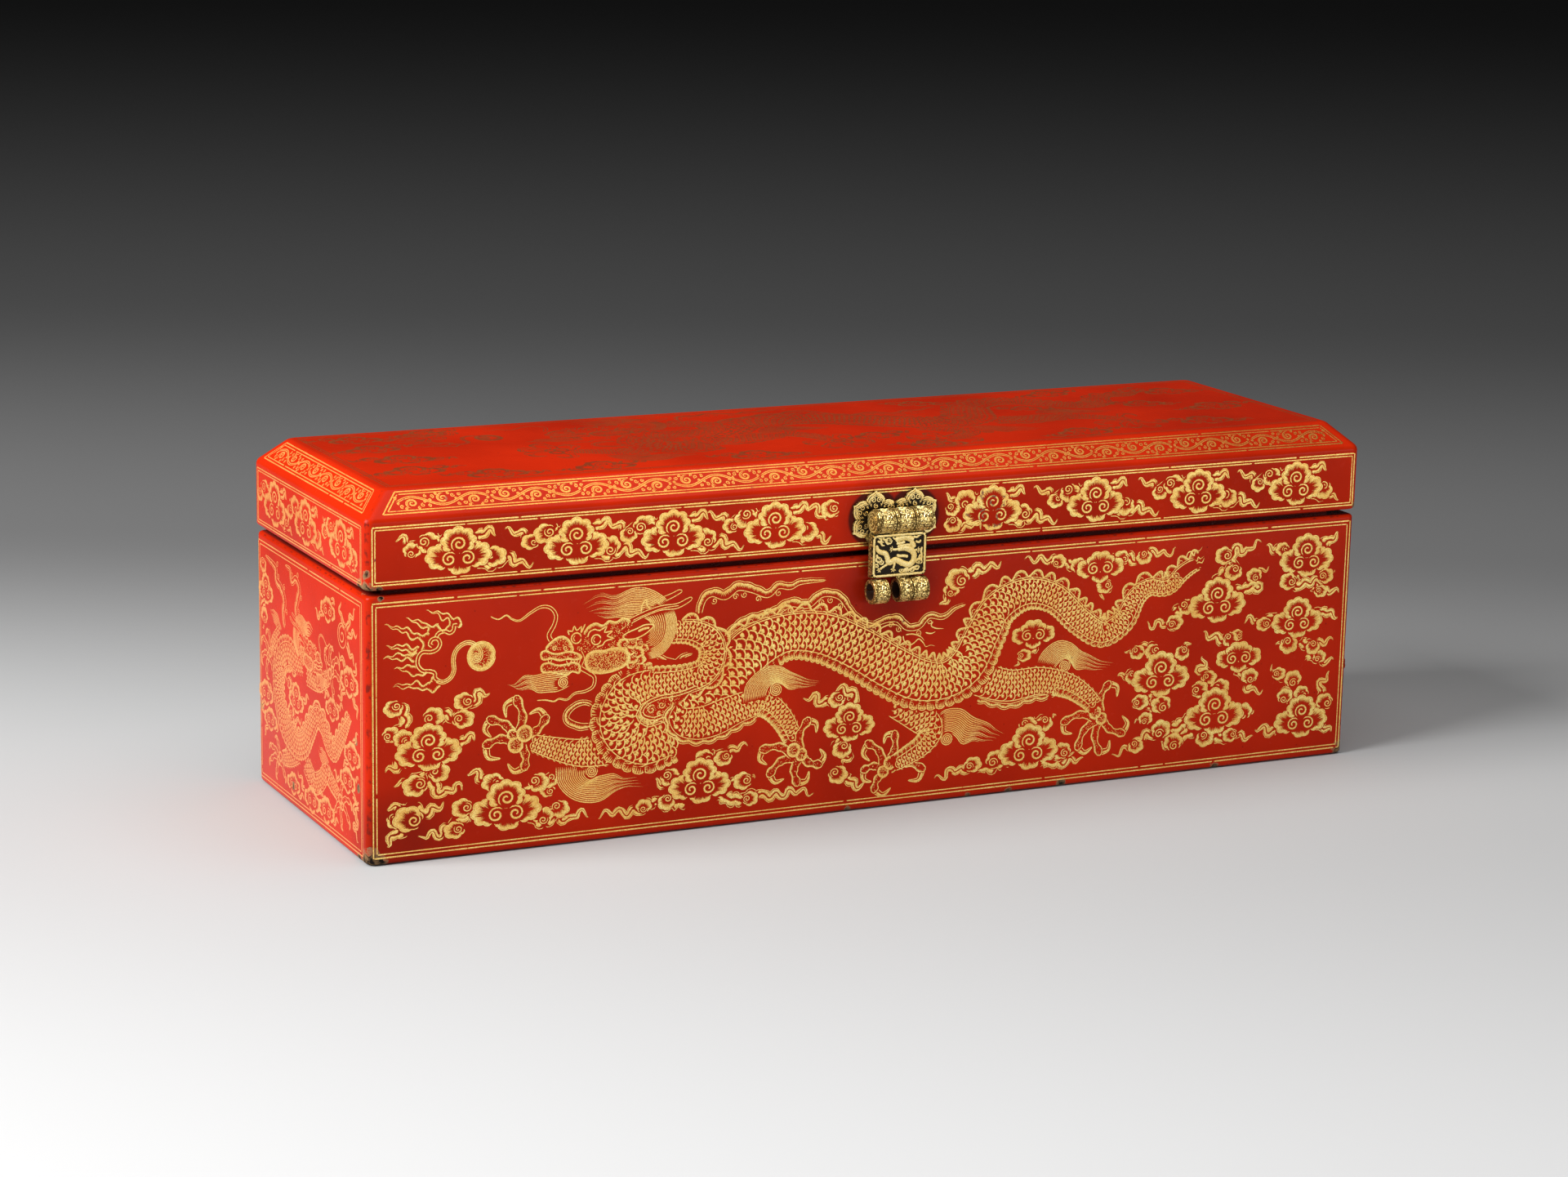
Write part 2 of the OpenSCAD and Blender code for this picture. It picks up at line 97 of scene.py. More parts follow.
# %% [markdown]
# ## Materials: helpers for layers
#
# Colours are written as sRGB hex values, as a colour picker shows them, and one function turns them
# into the linear values that Blender's nodes want. Another adds a node, sets its values and links its
# inputs. Short ones built on it turn one range of values into another, lay colour over colour and make
# noise, so that each material below reads as a list of layers.

# %% Colour and node helpers


def colour(hex_value):
    """Linear RGBA of an sRGB hex colour."""
    channels = [int(hex_value[i : i + 2], 16) / 255 for i in (1, 3, 5)]
    linear = [c / 12.92 if c <= 0.04045 else ((c + 0.055) / 1.055) ** 2.4 for c in channels]
    return (*linear, 1.0)


def node(tree, kind, settings=None, **inputs):
    """Adds a shader node; its inputs go by name, or as i0 by number, and take a value, a socket or a node."""
    made = tree.nodes.new("ShaderNode" + kind)
    for key, value in (settings or {}).items():
        setattr(made, key, value)
    for key, value in inputs.items():
        name = int(key[1:]) if key[0] == "i" and key[1:].isdigit() else key.replace("_", " ")
        if isinstance(value, bpy.types.Node):
            value = value.outputs[2 if value.bl_idname == "ShaderNodeMix" else 0]
        if isinstance(value, bpy.types.NodeSocket):
            tree.links.new(value, made.inputs[name])
        else:
            made.inputs[name].default_value = value
    return made


RGBA = {"data_type": "RGBA"}
ADD = {"operation": "ADD"}
MULTIPLY = {"operation": "MULTIPLY"}
MULTIPLY_ADD = {"operation": "MULTIPLY_ADD"}
MINIMUM = {"operation": "MINIMUM"}
MAXIMUM = {"operation": "MAXIMUM"}
DISTANCE = {"operation": "DISTANCE"}
DOT_PRODUCT = {"operation": "DOT_PRODUCT"}


def new_material(name):
    """Empty material with its tree and its object coordinates."""
    material = bpy.data.materials.new(name)
    material.use_nodes = True
    tree = material.node_tree
    tree.nodes.clear()
    return material, tree, node(tree, "TexCoord").outputs["Object"]


def coated(material, **inputs):
    """Closes a material with a surface that its layers feed."""
    tree = material.node_tree
    surface = node(tree, "BsdfPrincipled", **inputs)
    node(tree, "OutputMaterial", Surface=surface)
    return material


def ramp(tree, value, low, high, start=0.0, end=1.0):
    """Turns low into start and high into end, with all that lies between, and stops there."""
    return node(tree, "MapRange", Value=value, i1=low, i2=high, i3=start, i4=end)


def blend(tree, share, under, over):
    """Lays one colour over another, or one layer, by a share from 0 to 1."""
    under, over = (colour(layer) if isinstance(layer, str) else layer for layer in (under, over))
    return node(tree, "Mix", RGBA, Factor=share, i6=under, i7=over)


def noise(tree, place, size, detail, **inputs):
    """Soft random patches of a size in millimetres."""
    return node(tree, "TexNoise", Vector=place, Scale=1 / (size * MM), Detail=detail, **inputs)


def nearest_spot(tree, place, spots):
    """Distance to the nearest of some spots, each measured in its own radius."""
    nearest = 9.0
    for spot, size in spots:
        away = node(tree, "VectorMath", DISTANCE, i0=place, i1=Vector(spot) * MM)
        share = node(tree, "Math", {"operation": "DIVIDE"}, i0=away.outputs["Value"], i1=size * MM)
        nearest = node(tree, "Math", MINIMUM, i0=share, i1=nearest)
    return nearest


# %% [markdown]
# ## Red lacquer
#
# Many coats of lacquer coloured with cinnabar are brushed on and polished. The eye sees a deep orange
# red with slow cloudy changes, a soft gloss that is slightly uneven, and fine dark pits. Where an edge
# has been knocked, the red is gone and the dark ground shows, with a pale rim of the layer between.
# Chips are listed as points with a size, because the real ones sit at corners and feet. So are
# the dull stains round the metalwork, and the dark rings close round the rosettes, which are painted
# shadow of the raised plates over old dark residue.

# %% Red lacquer
CHIPS = [
    ((-202, -60, 0), 6.0),
    ((-198, -61, 1), 3.0),
    ((-203, -52, 0), 3.0),
    ((-203, -61, 98.5), 3.4),
    ((-203, -61, 104), 2.4),
    ((-203, -55, 98.5), 3.0),
    ((-198, -61, 98), 1.8),
    ((202, -61, 1), 4.6),
    ((203, -61, 99), 2.4),
    ((-197, -60.5, 95.6), 1.3),
    ((52, -61, 0), 2.0),
    ((75, -61, 1), 2.2),
    ((35, -61, 0), 1.8),
    ((-16, -61, 0), 1.8),
    ((143, -61, 0), 2.4),
    ((-203, 20, 8), 1.8),
    ((-203, 56, 30), 2.0),
    ((-203, -49, 42.5), 1.7),
    ((-203, -51.5, 26), 1.9),
    ((203, 61, 1), 3.5),
    ((203, 10, 30), 1.5),
    ((-60, 61, 1), 2.2),
]
# Rings round the rosettes: painted shadow of the plates, over old dark residue.
HALOES = [((-8, -61, 109.8), 10.3), ((8, -61, 109.8), 10.3)]
STAINS = [((0, -61, 86), 22.0), ((-8, -61, 110), 14.0), ((8, -61, 110), 14.0), ((-193, -61, 6), 20.0)]


def lacquer(name, red, deep):
    """Polished lacquer of one colour, with its clouding, pits, worn edges, stains and chips."""
    material, tree, place = new_material(name)
    clouds = noise(tree, place, 60, 4.0)
    grain = noise(tree, place, 2.5, 5.0)
    pits = node(tree, "TexVoronoi", Vector=place, Scale=1 / (7 * MM), Randomness=1.0)
    tint = ramp(tree, clouds, 0.3, 0.7)
    body = blend(tree, tint, deep, red)
    pit = ramp(tree, pits, 0.03, 0.06, 0.5, 0.0)
    dark = "#3A0C08"
    pitted = blend(tree, pit, body, dark)
    stain_edge = node(tree, "Math", ADD, i0=nearest_spot(tree, place, STAINS), i1=clouds)
    stain = ramp(tree, stain_edge, 0.9, 1.7, 0.45, 0.0)
    stained = blend(tree, stain, pitted, dark)
    # Dark rings close round the rosettes: painted shadow of the raised plates, over old dark residue.
    halo = ramp(tree, nearest_spot(tree, place, HALOES), 0.98, 1.07, 0.85, 0.0)
    ringed_with_shade_and_residue = blend(tree, halo, stained, "#2A120C")
    edge = node(tree, "Attribute", {"attribute_name": "edge"}).outputs["Fac"]
    rub = node(tree, "Math", MULTIPLY, i0=edge, i1=grain)
    rubbed = ramp(tree, rub, 0.5, 0.64, 0.0, 0.75)
    worn = blend(tree, rubbed, ringed_with_shade_and_residue, "#4A1610")
    nearest = nearest_spot(tree, place, CHIPS)
    ragged = node(tree, "Math", MULTIPLY_ADD, i0=grain, i1=-1.6, i2=nearest)
    chip = ramp(tree, ragged, -0.1, 0.02, 1.0, 0.0)
    rim = ramp(tree, ragged, 0.1, 0.22, 0.7, 0.0)
    bits = ramp(tree, grain, 0.44, 0.6)
    ground = blend(tree, bits, "#17110E", "#7A5E40")
    pale = blend(tree, rim, worn, "#8A6A4C")
    bare = blend(tree, chip, pale, ground)
    gloss = ramp(tree, grain, 0.2, 0.8, 0.2, 0.3)
    dull = node(tree, "Math", MULTIPLY_ADD, i0=chip, i1=0.4, i2=gloss)
    uneven = noise(tree, place, 14, 2.0)
    height = node(tree, "Math", MULTIPLY_ADD, i0=chip, i1=-1.5, i2=uneven)
    bump = node(tree, "Bump", Height=height, Strength=0.15, Distance=0.1 * MM)
    return coated(material, Base_Color=bare, Roughness=dull, IOR=1.5, Specular_IOR_Level=0.06, Normal=bump)


RED_LACQUER = lacquer("polished red lacquer", "#BC2507", "#9E1C05")
INNER_LACQUER = lacquer("plain red lacquer inside", "#8E2318", "#761C14")
BLACK_LACQUER = lacquer("black lacquer under the box", "#1D1513", "#15100F")
print("lacquers:", RED_LACQUER.name, INNER_LACQUER.name, BLACK_LACQUER.name)

# %% [markdown]
# ## Gold in the cut lines
#
# The lines are cut with a fine graver, painted with wet lacquer and filled with gold leaf. The eye sees
# a warm, slightly broken gold that flashes like metal: pale where the leaf is whole and on the crown of a
# stroke, browner toward its edges, where the leaf is thinner and the sides of the groove are in painted
# shade, and red where it has rubbed through. The patches of wear are a few millimetres across, with a few
# places that hands have rubbed for years.

# %% Gold leaf
RUBBED = [((41, -61, 110), 15.0), ((-20, -61, 110), 7.0), ((0, -61, 80), 16.0), ((-196, -61, 108), 9.0)]


def gold_leaf(name, bright, thin, ground, whole, shine=0.85):
    """Leaf gold over a ground; whole is the wear that it withstands, shine how much it mirrors."""
    material, tree, place = new_material(name)
    tone = noise(tree, place, 9, 4.0)
    wear = noise(tree, place, 3.2, 5.0, Roughness=0.65)
    dots = noise(tree, place, 0.4, 1.0)
    ridge = node(tree, "Attribute", {"attribute_name": "ridge"}).outputs["Fac"]
    # The crown of a stroke takes the bright tone and its edges the browner one: painted shade of the groove's
    # sides, over leaf that is thinner there.
    middle = ramp(tree, ridge, 0.0, 0.6)
    shift = ramp(tree, tone, 0.7, 0.3, 0.4, 1.0)
    speck = ramp(tree, dots, 0.38, 0.58, 0.25, 1.0)
    patchy = node(tree, "Math", MULTIPLY, i0=speck, i1=shift)
    whole_leaf_and_lit_crown = node(tree, "Math", MULTIPLY, i0=middle, i1=patchy)
    leaf = blend(tree, whole_leaf_and_lit_crown, thin, bright)
    spots = nearest_spot(tree, place, RUBBED)
    near = ramp(tree, spots, 0.3, 1.1, 0.16, 0.0)
    worn = node(tree, "Math", ADD, i0=wear, i1=near)
    lost = ramp(tree, worn, whole, whole + 0.05, 0.0, 0.9)
    frayed = node(tree, "Math", MULTIPLY_ADD, i0=ridge, i1=0.9, i2=dots)
    broken = ramp(tree, frayed, 0.5, 0.58, 0.85, 0.0)
    gone = node(tree, "Math", MAXIMUM, i0=lost, i1=broken)
    shown = blend(tree, gone, leaf, ground)
    metal = ramp(tree, gone, 0, 1, shine, 0.0)
    rough = ramp(tree, wear, 0.3, 0.7, 0.26, 0.38)
    return coated(material, Base_Color=shown, Metallic=metal, Roughness=rough)


LACQUER_GOLD = gold_leaf("gold leaf in cut lines", "#FFF098", "#E8A646", "#6A160A", 0.68)
# The bevel, the ends and the top take copies of the same leaf, each toned darker and duller for how light
# falls on its face: painted shade.
BEVEL_GOLD = gold_leaf("gold leaf on the bevel", "#E0A450", "#BC7028", "#8A1C0C", 0.64)
END_GOLD = gold_leaf("gold leaf on the ends", "#EAA45C", "#C87430", "#7A180A", 0.68, 0.25)
TOP_GOLD = gold_leaf("thin gold leaf on the top", "#A85228", "#7E3012", "#8A1C0C", 0.57, 0.2)
print("gold:", LACQUER_GOLD.name, BEVEL_GOLD.name, END_GOLD.name, TOP_GOLD.name)

# %% [markdown]
# ## Modelling by selection
#
# The lacquer skins are modelled as by hand: a cube is added at its size, its edges and faces are picked by
# their place, and operators shape them. These helpers do the picking and close a mesh, so that each
# skin below reads as a list of steps.

# %% Tools for modelling by selection


def deselect_all():
    for other in bpy.context.selected_objects:
        other.select_set(False)


def take(made):
    """Makes one object the only one selected, and active."""
    deselect_all()
    made.select_set(True)
    bpy.context.view_layer.objects.active = made


def recoat(made, finish):
    """Gives an object one finish in place of all that it has."""
    made.data.materials.clear()
    made.data.materials.append(finish)


def start_cube(name, low, high):
    """A cube between two corners in millimetres, active and in edit mode."""
    deselect_all()
    bpy.ops.mesh.primitive_cube_add(size=1, location=(low + high) / 2 * MM)
    made = bpy.context.object
    made.name = name
    made.scale = (high - low) * MM
    bpy.ops.object.transform_apply(location=True, rotation=True, scale=True)
    bpy.ops.object.mode_set(mode="EDIT")
    return made


def pick(kind, made, test):
    """Selects the faces or edges of the object in edit mode whose corners, in mm, all pass a test."""
    bpy.ops.mesh.select_mode(type=kind)
    bpy.ops.mesh.select_all(action="DESELECT")
    bpy.ops.object.mode_set(mode="OBJECT")
    mesh = made.data
    chosen = mesh.polygons if kind == "FACE" else mesh.edges
    for part in chosen:
        corners = [mesh.vertices[i].co / MM for i in part.vertices]
        part.select = test(corners)
    bpy.ops.object.mode_set(mode="EDIT")


def all_at(axis, value):
    return lambda corners: all(abs(c[axis] - value) < 0.01 for c in corners)


def round_edges(radius, segments):
    bpy.ops.mesh.bevel(offset=radius * MM, segments=segments, profile=0.5, affect="EDGES")


def hollow(made, low, high):
    """Cuts a box-shaped hollow, between two corners in millimetres, out of a finished mesh."""
    cutter = start_cube("cutter", low, high)
    bpy.ops.object.mode_set(mode="OBJECT")
    take(made)
    cut = made.modifiers.new("hollow", "BOOLEAN")
    cut.operation = "DIFFERENCE"
    cut.solver = "EXACT"
    cut.object = cutter
    bpy.ops.object.modifier_apply(modifier=cut.name)
    bpy.data.objects.remove(cutter, do_unlink=True)


def finish_mesh():
    """Leaves edit mode with closed, outward faces and smooth shading across the small bevels."""
    bpy.ops.mesh.select_all(action="SELECT")
    bpy.ops.mesh.remove_doubles(threshold=1e-7)
    bpy.ops.mesh.normals_make_consistent(inside=False)
    bpy.ops.object.mode_set(mode="OBJECT")
    bpy.ops.object.shade_smooth_by_angle(angle=math.radians(25))


def mark_edges(made, slopes=()):
    """Stores 1 on rounded edges and 0 on the flat faces and slopes, for the wear."""
    flats = [Vector(v) for v in ((1, 0, 0), (0, 1, 0), (0, 0, 1), *slopes)]
    attribute = made.data.attributes.new("edge", "FLOAT", "POINT")
    for vertex, value in zip(made.data.vertices, attribute.data):
        folded = Vector(abs(c) for c in vertex.normal)
        lean = 1 - max(folded.dot(flat.normalized()) for flat in flats)
        value.value = min(1.0, lean / 0.12)


def dress_skin(made, body, boards, hollows):
    """Gives a finished skin its lacquers by face, its body and the boards that it stands for."""
    for coat in (RED_LACQUER, INNER_LACQUER, BLACK_LACQUER):
        made.data.materials.append(coat)
    for face in made.data.polygons:
        middle = face.center / MM
        for low, high in hollows:
            if all(low[i] - 0.05 < middle[i] < high[i] + 0.05 for i in range(3)):
                face.material_index = 1
        if middle.z < 0.05:
            face.material_index = 2
    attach(made, body)
    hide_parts(*boards)
    print(f"{made.name}: {len(made.data.polygons)} faces")


# %% [markdown]
# ## Lacquer skin of the base
#
# The base is five boards in the frame, but lacquer runs over their joints without a break. So one skin
# stands for all five. It starts as a cube at the size of the base. Its upright corners are rounded
# first, and then the rim and the foot, so that the second bevel follows the round corners. The hollow
# is cut last with a Boolean modifier, because an inset before the bevels would leave diagonals at the
# corners that pull the round edge out of shape. Its faces get a plainer lacquer, and the underside a
# black one.

# %% Base skin
WALL_T = 8
FLOOR_T = 9
CORNER_R = 3
EDGE_R = 1.5
ABOVE = 5

base_skin = start_cube("lacquered_base", base_low, base_high)
pick("EDGE", base_skin, lambda corners: abs(corners[0].z - corners[1].z) > 1)
round_edges(CORNER_R, 6)
pick("EDGE", base_skin, all_at(2, BASE_H))
round_edges(EDGE_R, 5)
pick("EDGE", base_skin, all_at(2, 0))
round_edges(EDGE_R, 4)
finish_mesh()
mark_edges(base_skin)
room = Vector((BASE_L / 2 - WALL_T, BASE_D / 2 - WALL_T, 0))
base_room = (Vector((-room.x, -room.y, FLOOR_T)), Vector((room.x, room.y, BASE_H + ABOVE)))
hollow(base_skin, *base_room)
dress_skin(base_skin, "base", BASE_BOARDS, [base_room])

# %% [markdown]
# ## Lacquer skin of the lid
#
# The lid starts as a cube up to the shoulder. Its top is extruded up and drawn in, which gives the
# bevel on all four sides. The hips between the bevels are softened with the upright corners, and then
# the shoulder, the top edge and the rim. Two hollows are cut from below: a shallow rebate that drops
# over the lip of the base, and the room above it.

# %% Lid skin
BEVEL_RUN = 9.4
BEVEL_RISE = 9
LID_WALL_T = 12
LIP_CLEAR = 0.6
LIP_OVERLAP = 4
LID_TOP_T = 13

shoulder_z = lid_high.z - BEVEL_RISE
lid_skin = start_cube("lacquered_lid", lid_low, Vector((lid_high.x, lid_high.y, shoulder_z)))
pick("FACE", lid_skin, all_at(2, shoulder_z))
bpy.ops.mesh.extrude_region_move(TRANSFORM_OT_translate={"value": (0, 0, BEVEL_RISE * MM)})
drawn_in = ((LID_L - 2 * BEVEL_RUN) / LID_L, (LID_D - 2 * BEVEL_RUN) / LID_D, 1)
bpy.ops.transform.resize(value=drawn_in)
pick("EDGE", lid_skin, lambda corners: abs(corners[0].z - corners[1].z) > 1)
round_edges(CORNER_R, 6)
for height, radius in ((shoulder_z, 1.3), (lid_high.z, 1.3), (lid_low.z, EDGE_R)):
    pick("EDGE", lid_skin, all_at(2, height))
    round_edges(radius, 5)
finish_mesh()
mark_edges(lid_skin, ((0, BEVEL_RISE, BEVEL_RUN), (BEVEL_RISE, 0, BEVEL_RUN)))
rebate = Vector((BASE_L / 2 - WALL_T + LIP_CLEAR, BASE_D / 2 - WALL_T + LIP_CLEAR, 0))
room = Vector((LID_L / 2 - LID_WALL_T, LID_D / 2 - LID_WALL_T, 0))
lid_rooms = []
for size, top in ((rebate, lid_low.z + LIP_OVERLAP), (room, lid_high.z - LID_TOP_T)):
    lid_rooms.append((Vector((-size.x, -size.y, lid_low.z - ABOVE)), Vector((size.x, size.y, top))))
for lid_room in lid_rooms:
    hollow(lid_skin, *lid_room)
dress_skin(lid_skin, "lid", LID_BOARDS, lid_rooms)

# %% [markdown]
# ## Liner
#
# The four liner boards are right as they are in the frame, so they only get their material: a plain,
# darker lacquer without ornament.

# %% Liner material
for side in SIDES:
    recoat(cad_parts[f"liner_{side}"], INNER_LACQUER)
print("liner boards dressed")

# %% [markdown]
# ## Drawing with strokes
#
# Each gold line on the real box is a groove filled with leaf, thin at its ends and a third of a
# millimetre wide. A bump map would lose such fine lines, so every line here is geometry: a curve with
# its own thickness at each point, which becomes a closed mesh a few hundredths of a millimetre high.
#
# The helpers below work in millimetres on a flat sheet, x to the right and y up. They pass a smooth line
# through a few given points, space it evenly, and run a second line beside it.

# %% Lines on a sheet
TAU = 2 * math.pi
chance = random.Random(7)


def smooth(points, step=0.8):
    """Even curve through given points; a third value in a point is carried along."""
    padded = [points[0], *points, points[-1]]
    curve = []
    for a, b, c, d in zip(padded, padded[1:], padded[2:], padded[3:]):
        count = max(2, round(math.dist(b[:2], c[:2]) / step))
        for k in range(count):
            t = k / count
            weights = (-t + 2 * t**2 - t**3, 2 - 5 * t**2 + 3 * t**3, t + 4 * t**2 - 3 * t**3, t**3 - t**2)
            columns = zip(a, b, c, d)
            curve.append(tuple(sum(w * q for w, q in zip(weights, column)) / 2 for column in columns))
    curve.append(tuple(points[-1]))
    return curve


def spaced(points, pitch):
    """The same line with its points an even pitch apart."""
    lengths = [math.dist(a[:2], b[:2]) for a, b in zip(points, points[1:])]
    count = max(2, round(sum(lengths) / pitch))
    gap = sum(lengths) / count
    out, k, walked = [], 0, 0.0
    for i in range(count):
        while k < len(lengths) - 1 and walked + lengths[k] < i * gap:
            walked += lengths[k]
            k += 1
        t = (i * gap - walked) / max(lengths[k], 1e-9)
        out.append(tuple(p + (q - p) * t for p, q in zip(points[k], points[k + 1])))
    out.append(tuple(points[-1]))
    return out


def left_of(points, i):
    """Unit direction to the left of a line at one of its points."""
    a, b = points[max(i - 1, 0)], points[min(i + 1, len(points) - 1)]
    dx, dy = b[0] - a[0], b[1] - a[1]
    length = math.hypot(dx, dy) or 1
    return -dy / length, dx / length


def beside(points, distance):
    """A line at a distance to the left of another; the distance is a number or one per point."""
    out = []
    for i, point in enumerate(points):
        nx, ny = left_of(points, i)
        away = distance[i] if isinstance(distance, list) else distance
        out.append((point[0] + nx * away, point[1] + ny * away))
    return out


def circle(x, y, r, count=14):
    """A closed ring of points."""
    turns = [TAU * k / count for k in range(count + 1)]
    return [(x + r * math.cos(turn), y + r * math.sin(turn)) for turn in turns]


def inside(outline, x, y):
    """Whether a point lies within a closed outline."""
    odd = False
    x1, y1 = outline[-1][:2]
    for point in outline:
        x2, y2 = point[:2]
        if (y1 > y) != (y2 > y) and x < x1 + (y - y1) / (y2 - y1) * (x2 - x1):
            odd = not odd
        x1, y1 = x2, y2
    return odd


# %% [markdown]
# A pattern collects strokes. The engraver draws the nearest thing first and lets the rest pass behind
# it, so a finished outline can be kept as a cover: any later stroke is cut where a cover hides it.

# %% Patterns


class Pattern:
    """Strokes of a drawing on a flat face, in mm, and the covers that hide what is drawn after them."""

    def __init__(self):
        self.strokes = []
        self.covers = []

    def cover(self, outline):
        xs, ys = [p[0] for p in outline], [p[1] for p in outline]
        self.covers.append((min(xs), max(xs), min(ys), max(ys), outline))

    def hidden(self, x, y):
        for left, right, low, high, outline in self.covers:
            if left < x < right and low < y < high and inside(outline, x, y):
                return True
        return False

    def draw(self, points, width=0.36, head=0.0, tail=0.0):
        """Adds a stroke that thins over a share of its length at each end, cut where it is hidden."""
        run, last = [], len(points) - 1
        for i, point in enumerate(points):
            t = i / last
            thick = width[i] if isinstance(width, list) else width
            if head:
                thick *= min(1, t / head + 0.15)
            if tail:
                thick *= min(1, (1 - t) / tail + 0.15)
            if self.hidden(point[0], point[1]):
                self.keep(run)
                run = []
            else:
                run.append((point[0], point[1], thick))
        self.keep(run)

    def keep(self, run):
        if len(run) > 2:
            self.strokes.append([(*run[0][:2], 0), *run[1:-1], (*run[-1][:2], 0)])

    def shade(self, edge, depth, centre=None, pitch=0.34):
        """Short tapering strokes inward from an edge: gold that fades into the ground."""
        line = spaced(edge, pitch)
        for i, (x, y) in enumerate(p[:2] for p in line):
            nx, ny = left_of(line, i)
            if centre:
                away = math.dist((x, y), centre) or 1
                nx, ny = (centre[0] - x) / away, (centre[1] - y) / away
            reach = depth(i / (len(line) - 1)) if callable(depth) else depth
            reach *= chance.uniform(0.7, 1.2)
            while reach > 0.2 and self.hidden(x + nx * reach, y + ny * reach):
                reach *= 0.7
            if reach > 0.2:
                points = [(x + nx * reach * t, y + ny * reach * t) for t in (-0.08, 0.2, 1)]
                self.draw(points, 1.4 * pitch)

    def paste(self, other, scale=1.0, mirror=1, at=(0.0, 0.0), tall=None):
        """Repeats another drawing here, larger, smaller or turned over, with its covers."""

        def moved(x, y):
            return mirror * scale * x + at[0], (tall or scale) * y + at[1]

        for stroke in other.strokes:
            widths = [max(0.26, width * min(1, scale * 1.15)) for x, y, width in stroke]
            self.draw([moved(x, y) for x, y, width in stroke], widths)
        for left, right, low, high, outline in other.covers:
            self.cover([moved(*point[:2]) for point in outline])


# %% [markdown]
# ## From strokes to gold
#
# All strokes of a drawing become splines of one curve with a radius at each point. Converted to a mesh,
# a stroke is a slim body with four sides that closes in a point at both ends. Its ridge is stored as an
# attribute, because the leaf thins and breaks toward the edges of a stroke, and its gold is painted browner
# there as shade of the groove's sides. The mesh is flattened and then set on its face of the box. A piece is
# kept under 200,000 triangles, so a long drawing is laid in several pieces.

# %% Laying a drawing on a face
STROKE_RISE = 0.04
PIECE_LIMIT = 150_000


def portions(strokes):
    """The strokes in lots that stay under the limit; a stroke has 8 triangles for each inner point."""
    lot, count = [], 0
    for stroke in strokes:
        if count > PIECE_LIMIT:
            yield lot
            lot, count = [], 0
        lot.append(stroke)
        count += 8 * (len(stroke) - 2)
    yield lot


def lay(art, name, body, right, up, at, gold, slot="red_lacquer", barrel=0):
    """Lays a drawing on a face, given by its right, its up and its origin, or round a barrel on its axis."""
    right, up = Vector(right).normalized(), Vector(up).normalized()
    face = Matrix((right, up, right.cross(up))).transposed().to_4x4()
    face.translation = Vector(at) * MM
    laid = []
    for number, strokes in enumerate(portions(art.strokes), 1):
        curve = bpy.data.curves.new(f"{name}_{number}", "CURVE")
        curve.dimensions = "3D"
        curve.twist_mode = "Z_UP"
        curve.bevel_depth = 1.0
        curve.bevel_resolution = 0
        for stroke in strokes:
            line = curve.splines.new("POLY")
            line.points.add(len(stroke) - 1)
            for point, (x, y, width) in zip(line.points, stroke):
                point.co = (x, y, 0, 1)
                if barrel:
                    point.co = (x, barrel * math.sin(y / barrel), barrel * math.cos(y / barrel), 1)
                point.radius = width / 2
        piece = bpy.data.objects.new(f"{name}_{number}", curve)
        bpy.context.scene.collection.objects.link(piece)
        take(piece)
        bpy.ops.object.convert(target="MESH")
        bpy.ops.object.mode_set(mode="EDIT")
        bpy.ops.mesh.select_all(action="SELECT")
        bpy.ops.mesh.remove_doubles(threshold=1e-4)
        bpy.ops.mesh.normals_make_consistent(inside=False)
        bpy.ops.mesh.faces_shade_flat()
        bpy.ops.object.mode_set(mode="OBJECT")
        ridge = piece.data.attributes.new("ridge", "FLOAT", "POINT")
        ridge.data.foreach_set("value", [min(1.0, 1e4 * abs(vertex.co.z)) for vertex in piece.data.vertices])
        rise = MM if barrel else STROKE_RISE * MM
        piece.matrix_world = face @ Matrix.Diagonal((MM, MM, rise, 1))
        bpy.ops.object.transform_apply(location=True, rotation=True, scale=True)
        recoat(piece, gold)
        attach(piece, body)
        laid.append(piece)
    print(f"{name}: {len(art.strokes)} strokes in {len(laid)} pieces")
    return laid


# %% [markdown]
# ## Clouds
#
# The clouds are of the old kind with a head like a mushroom: a bank of cloud above and one on each side,
# three curls where they meet, small puffs, and long tails that wave and thin out. A bank is gold along
# its scalloped rim and fades inward. A curl is one line of gold that winds on the red ground.

# %% Parts of a cloud


def ring(x, y, r, wide, start, hand, share, bumps):
    """Scalloped round of a cloud from a direction on, where it is narrowest, over a share of a turn."""
    points = []
    for k in range(bumps * 5 + 1):
        angle = start + hand * TAU * share * k / (bumps * 5)
        swell = 1 - 0.13 * math.cos(angle - start)
        reach = r * swell * (0.85 + 0.15 * abs(math.sin(math.pi * k / 5)))
        points.append((x + wide * reach * math.cos(angle), y + reach * math.sin(angle)))
    return points


def wound(x, y, r, wide, start, hand, turns, count, radius):
    """Line that winds about a centre; radius gives its share of r after some turns."""
    points = []
    for k in range(count + 1):
        turn = turns * k / count
        angle = start + hand * TAU * turn
        points.append((x + wide * r * radius(turn) * math.cos(angle), y + r * radius(turn) * math.sin(angle)))
    return points


def spiral(art, x, y, r, start, hand, wide=1.1):
    """A curl: a line of gold that winds inward and leaves the ground between its turns open."""
    count = 12 + round(3 * r)
    line = wound(x, y, r, wide, start, hand, 1.6, count, lambda t: 1 - 0.54 * t)
    swell = [0.17 + 0.12 * math.sin(math.pi * k / count) for k in range(count + 1)]
    art.draw(line, [max(0.26, r * share) for share in swell])
    art.cover(wound(x, y, 1.14 * r, wide, start, 1, 1, 14, lambda t: 1))


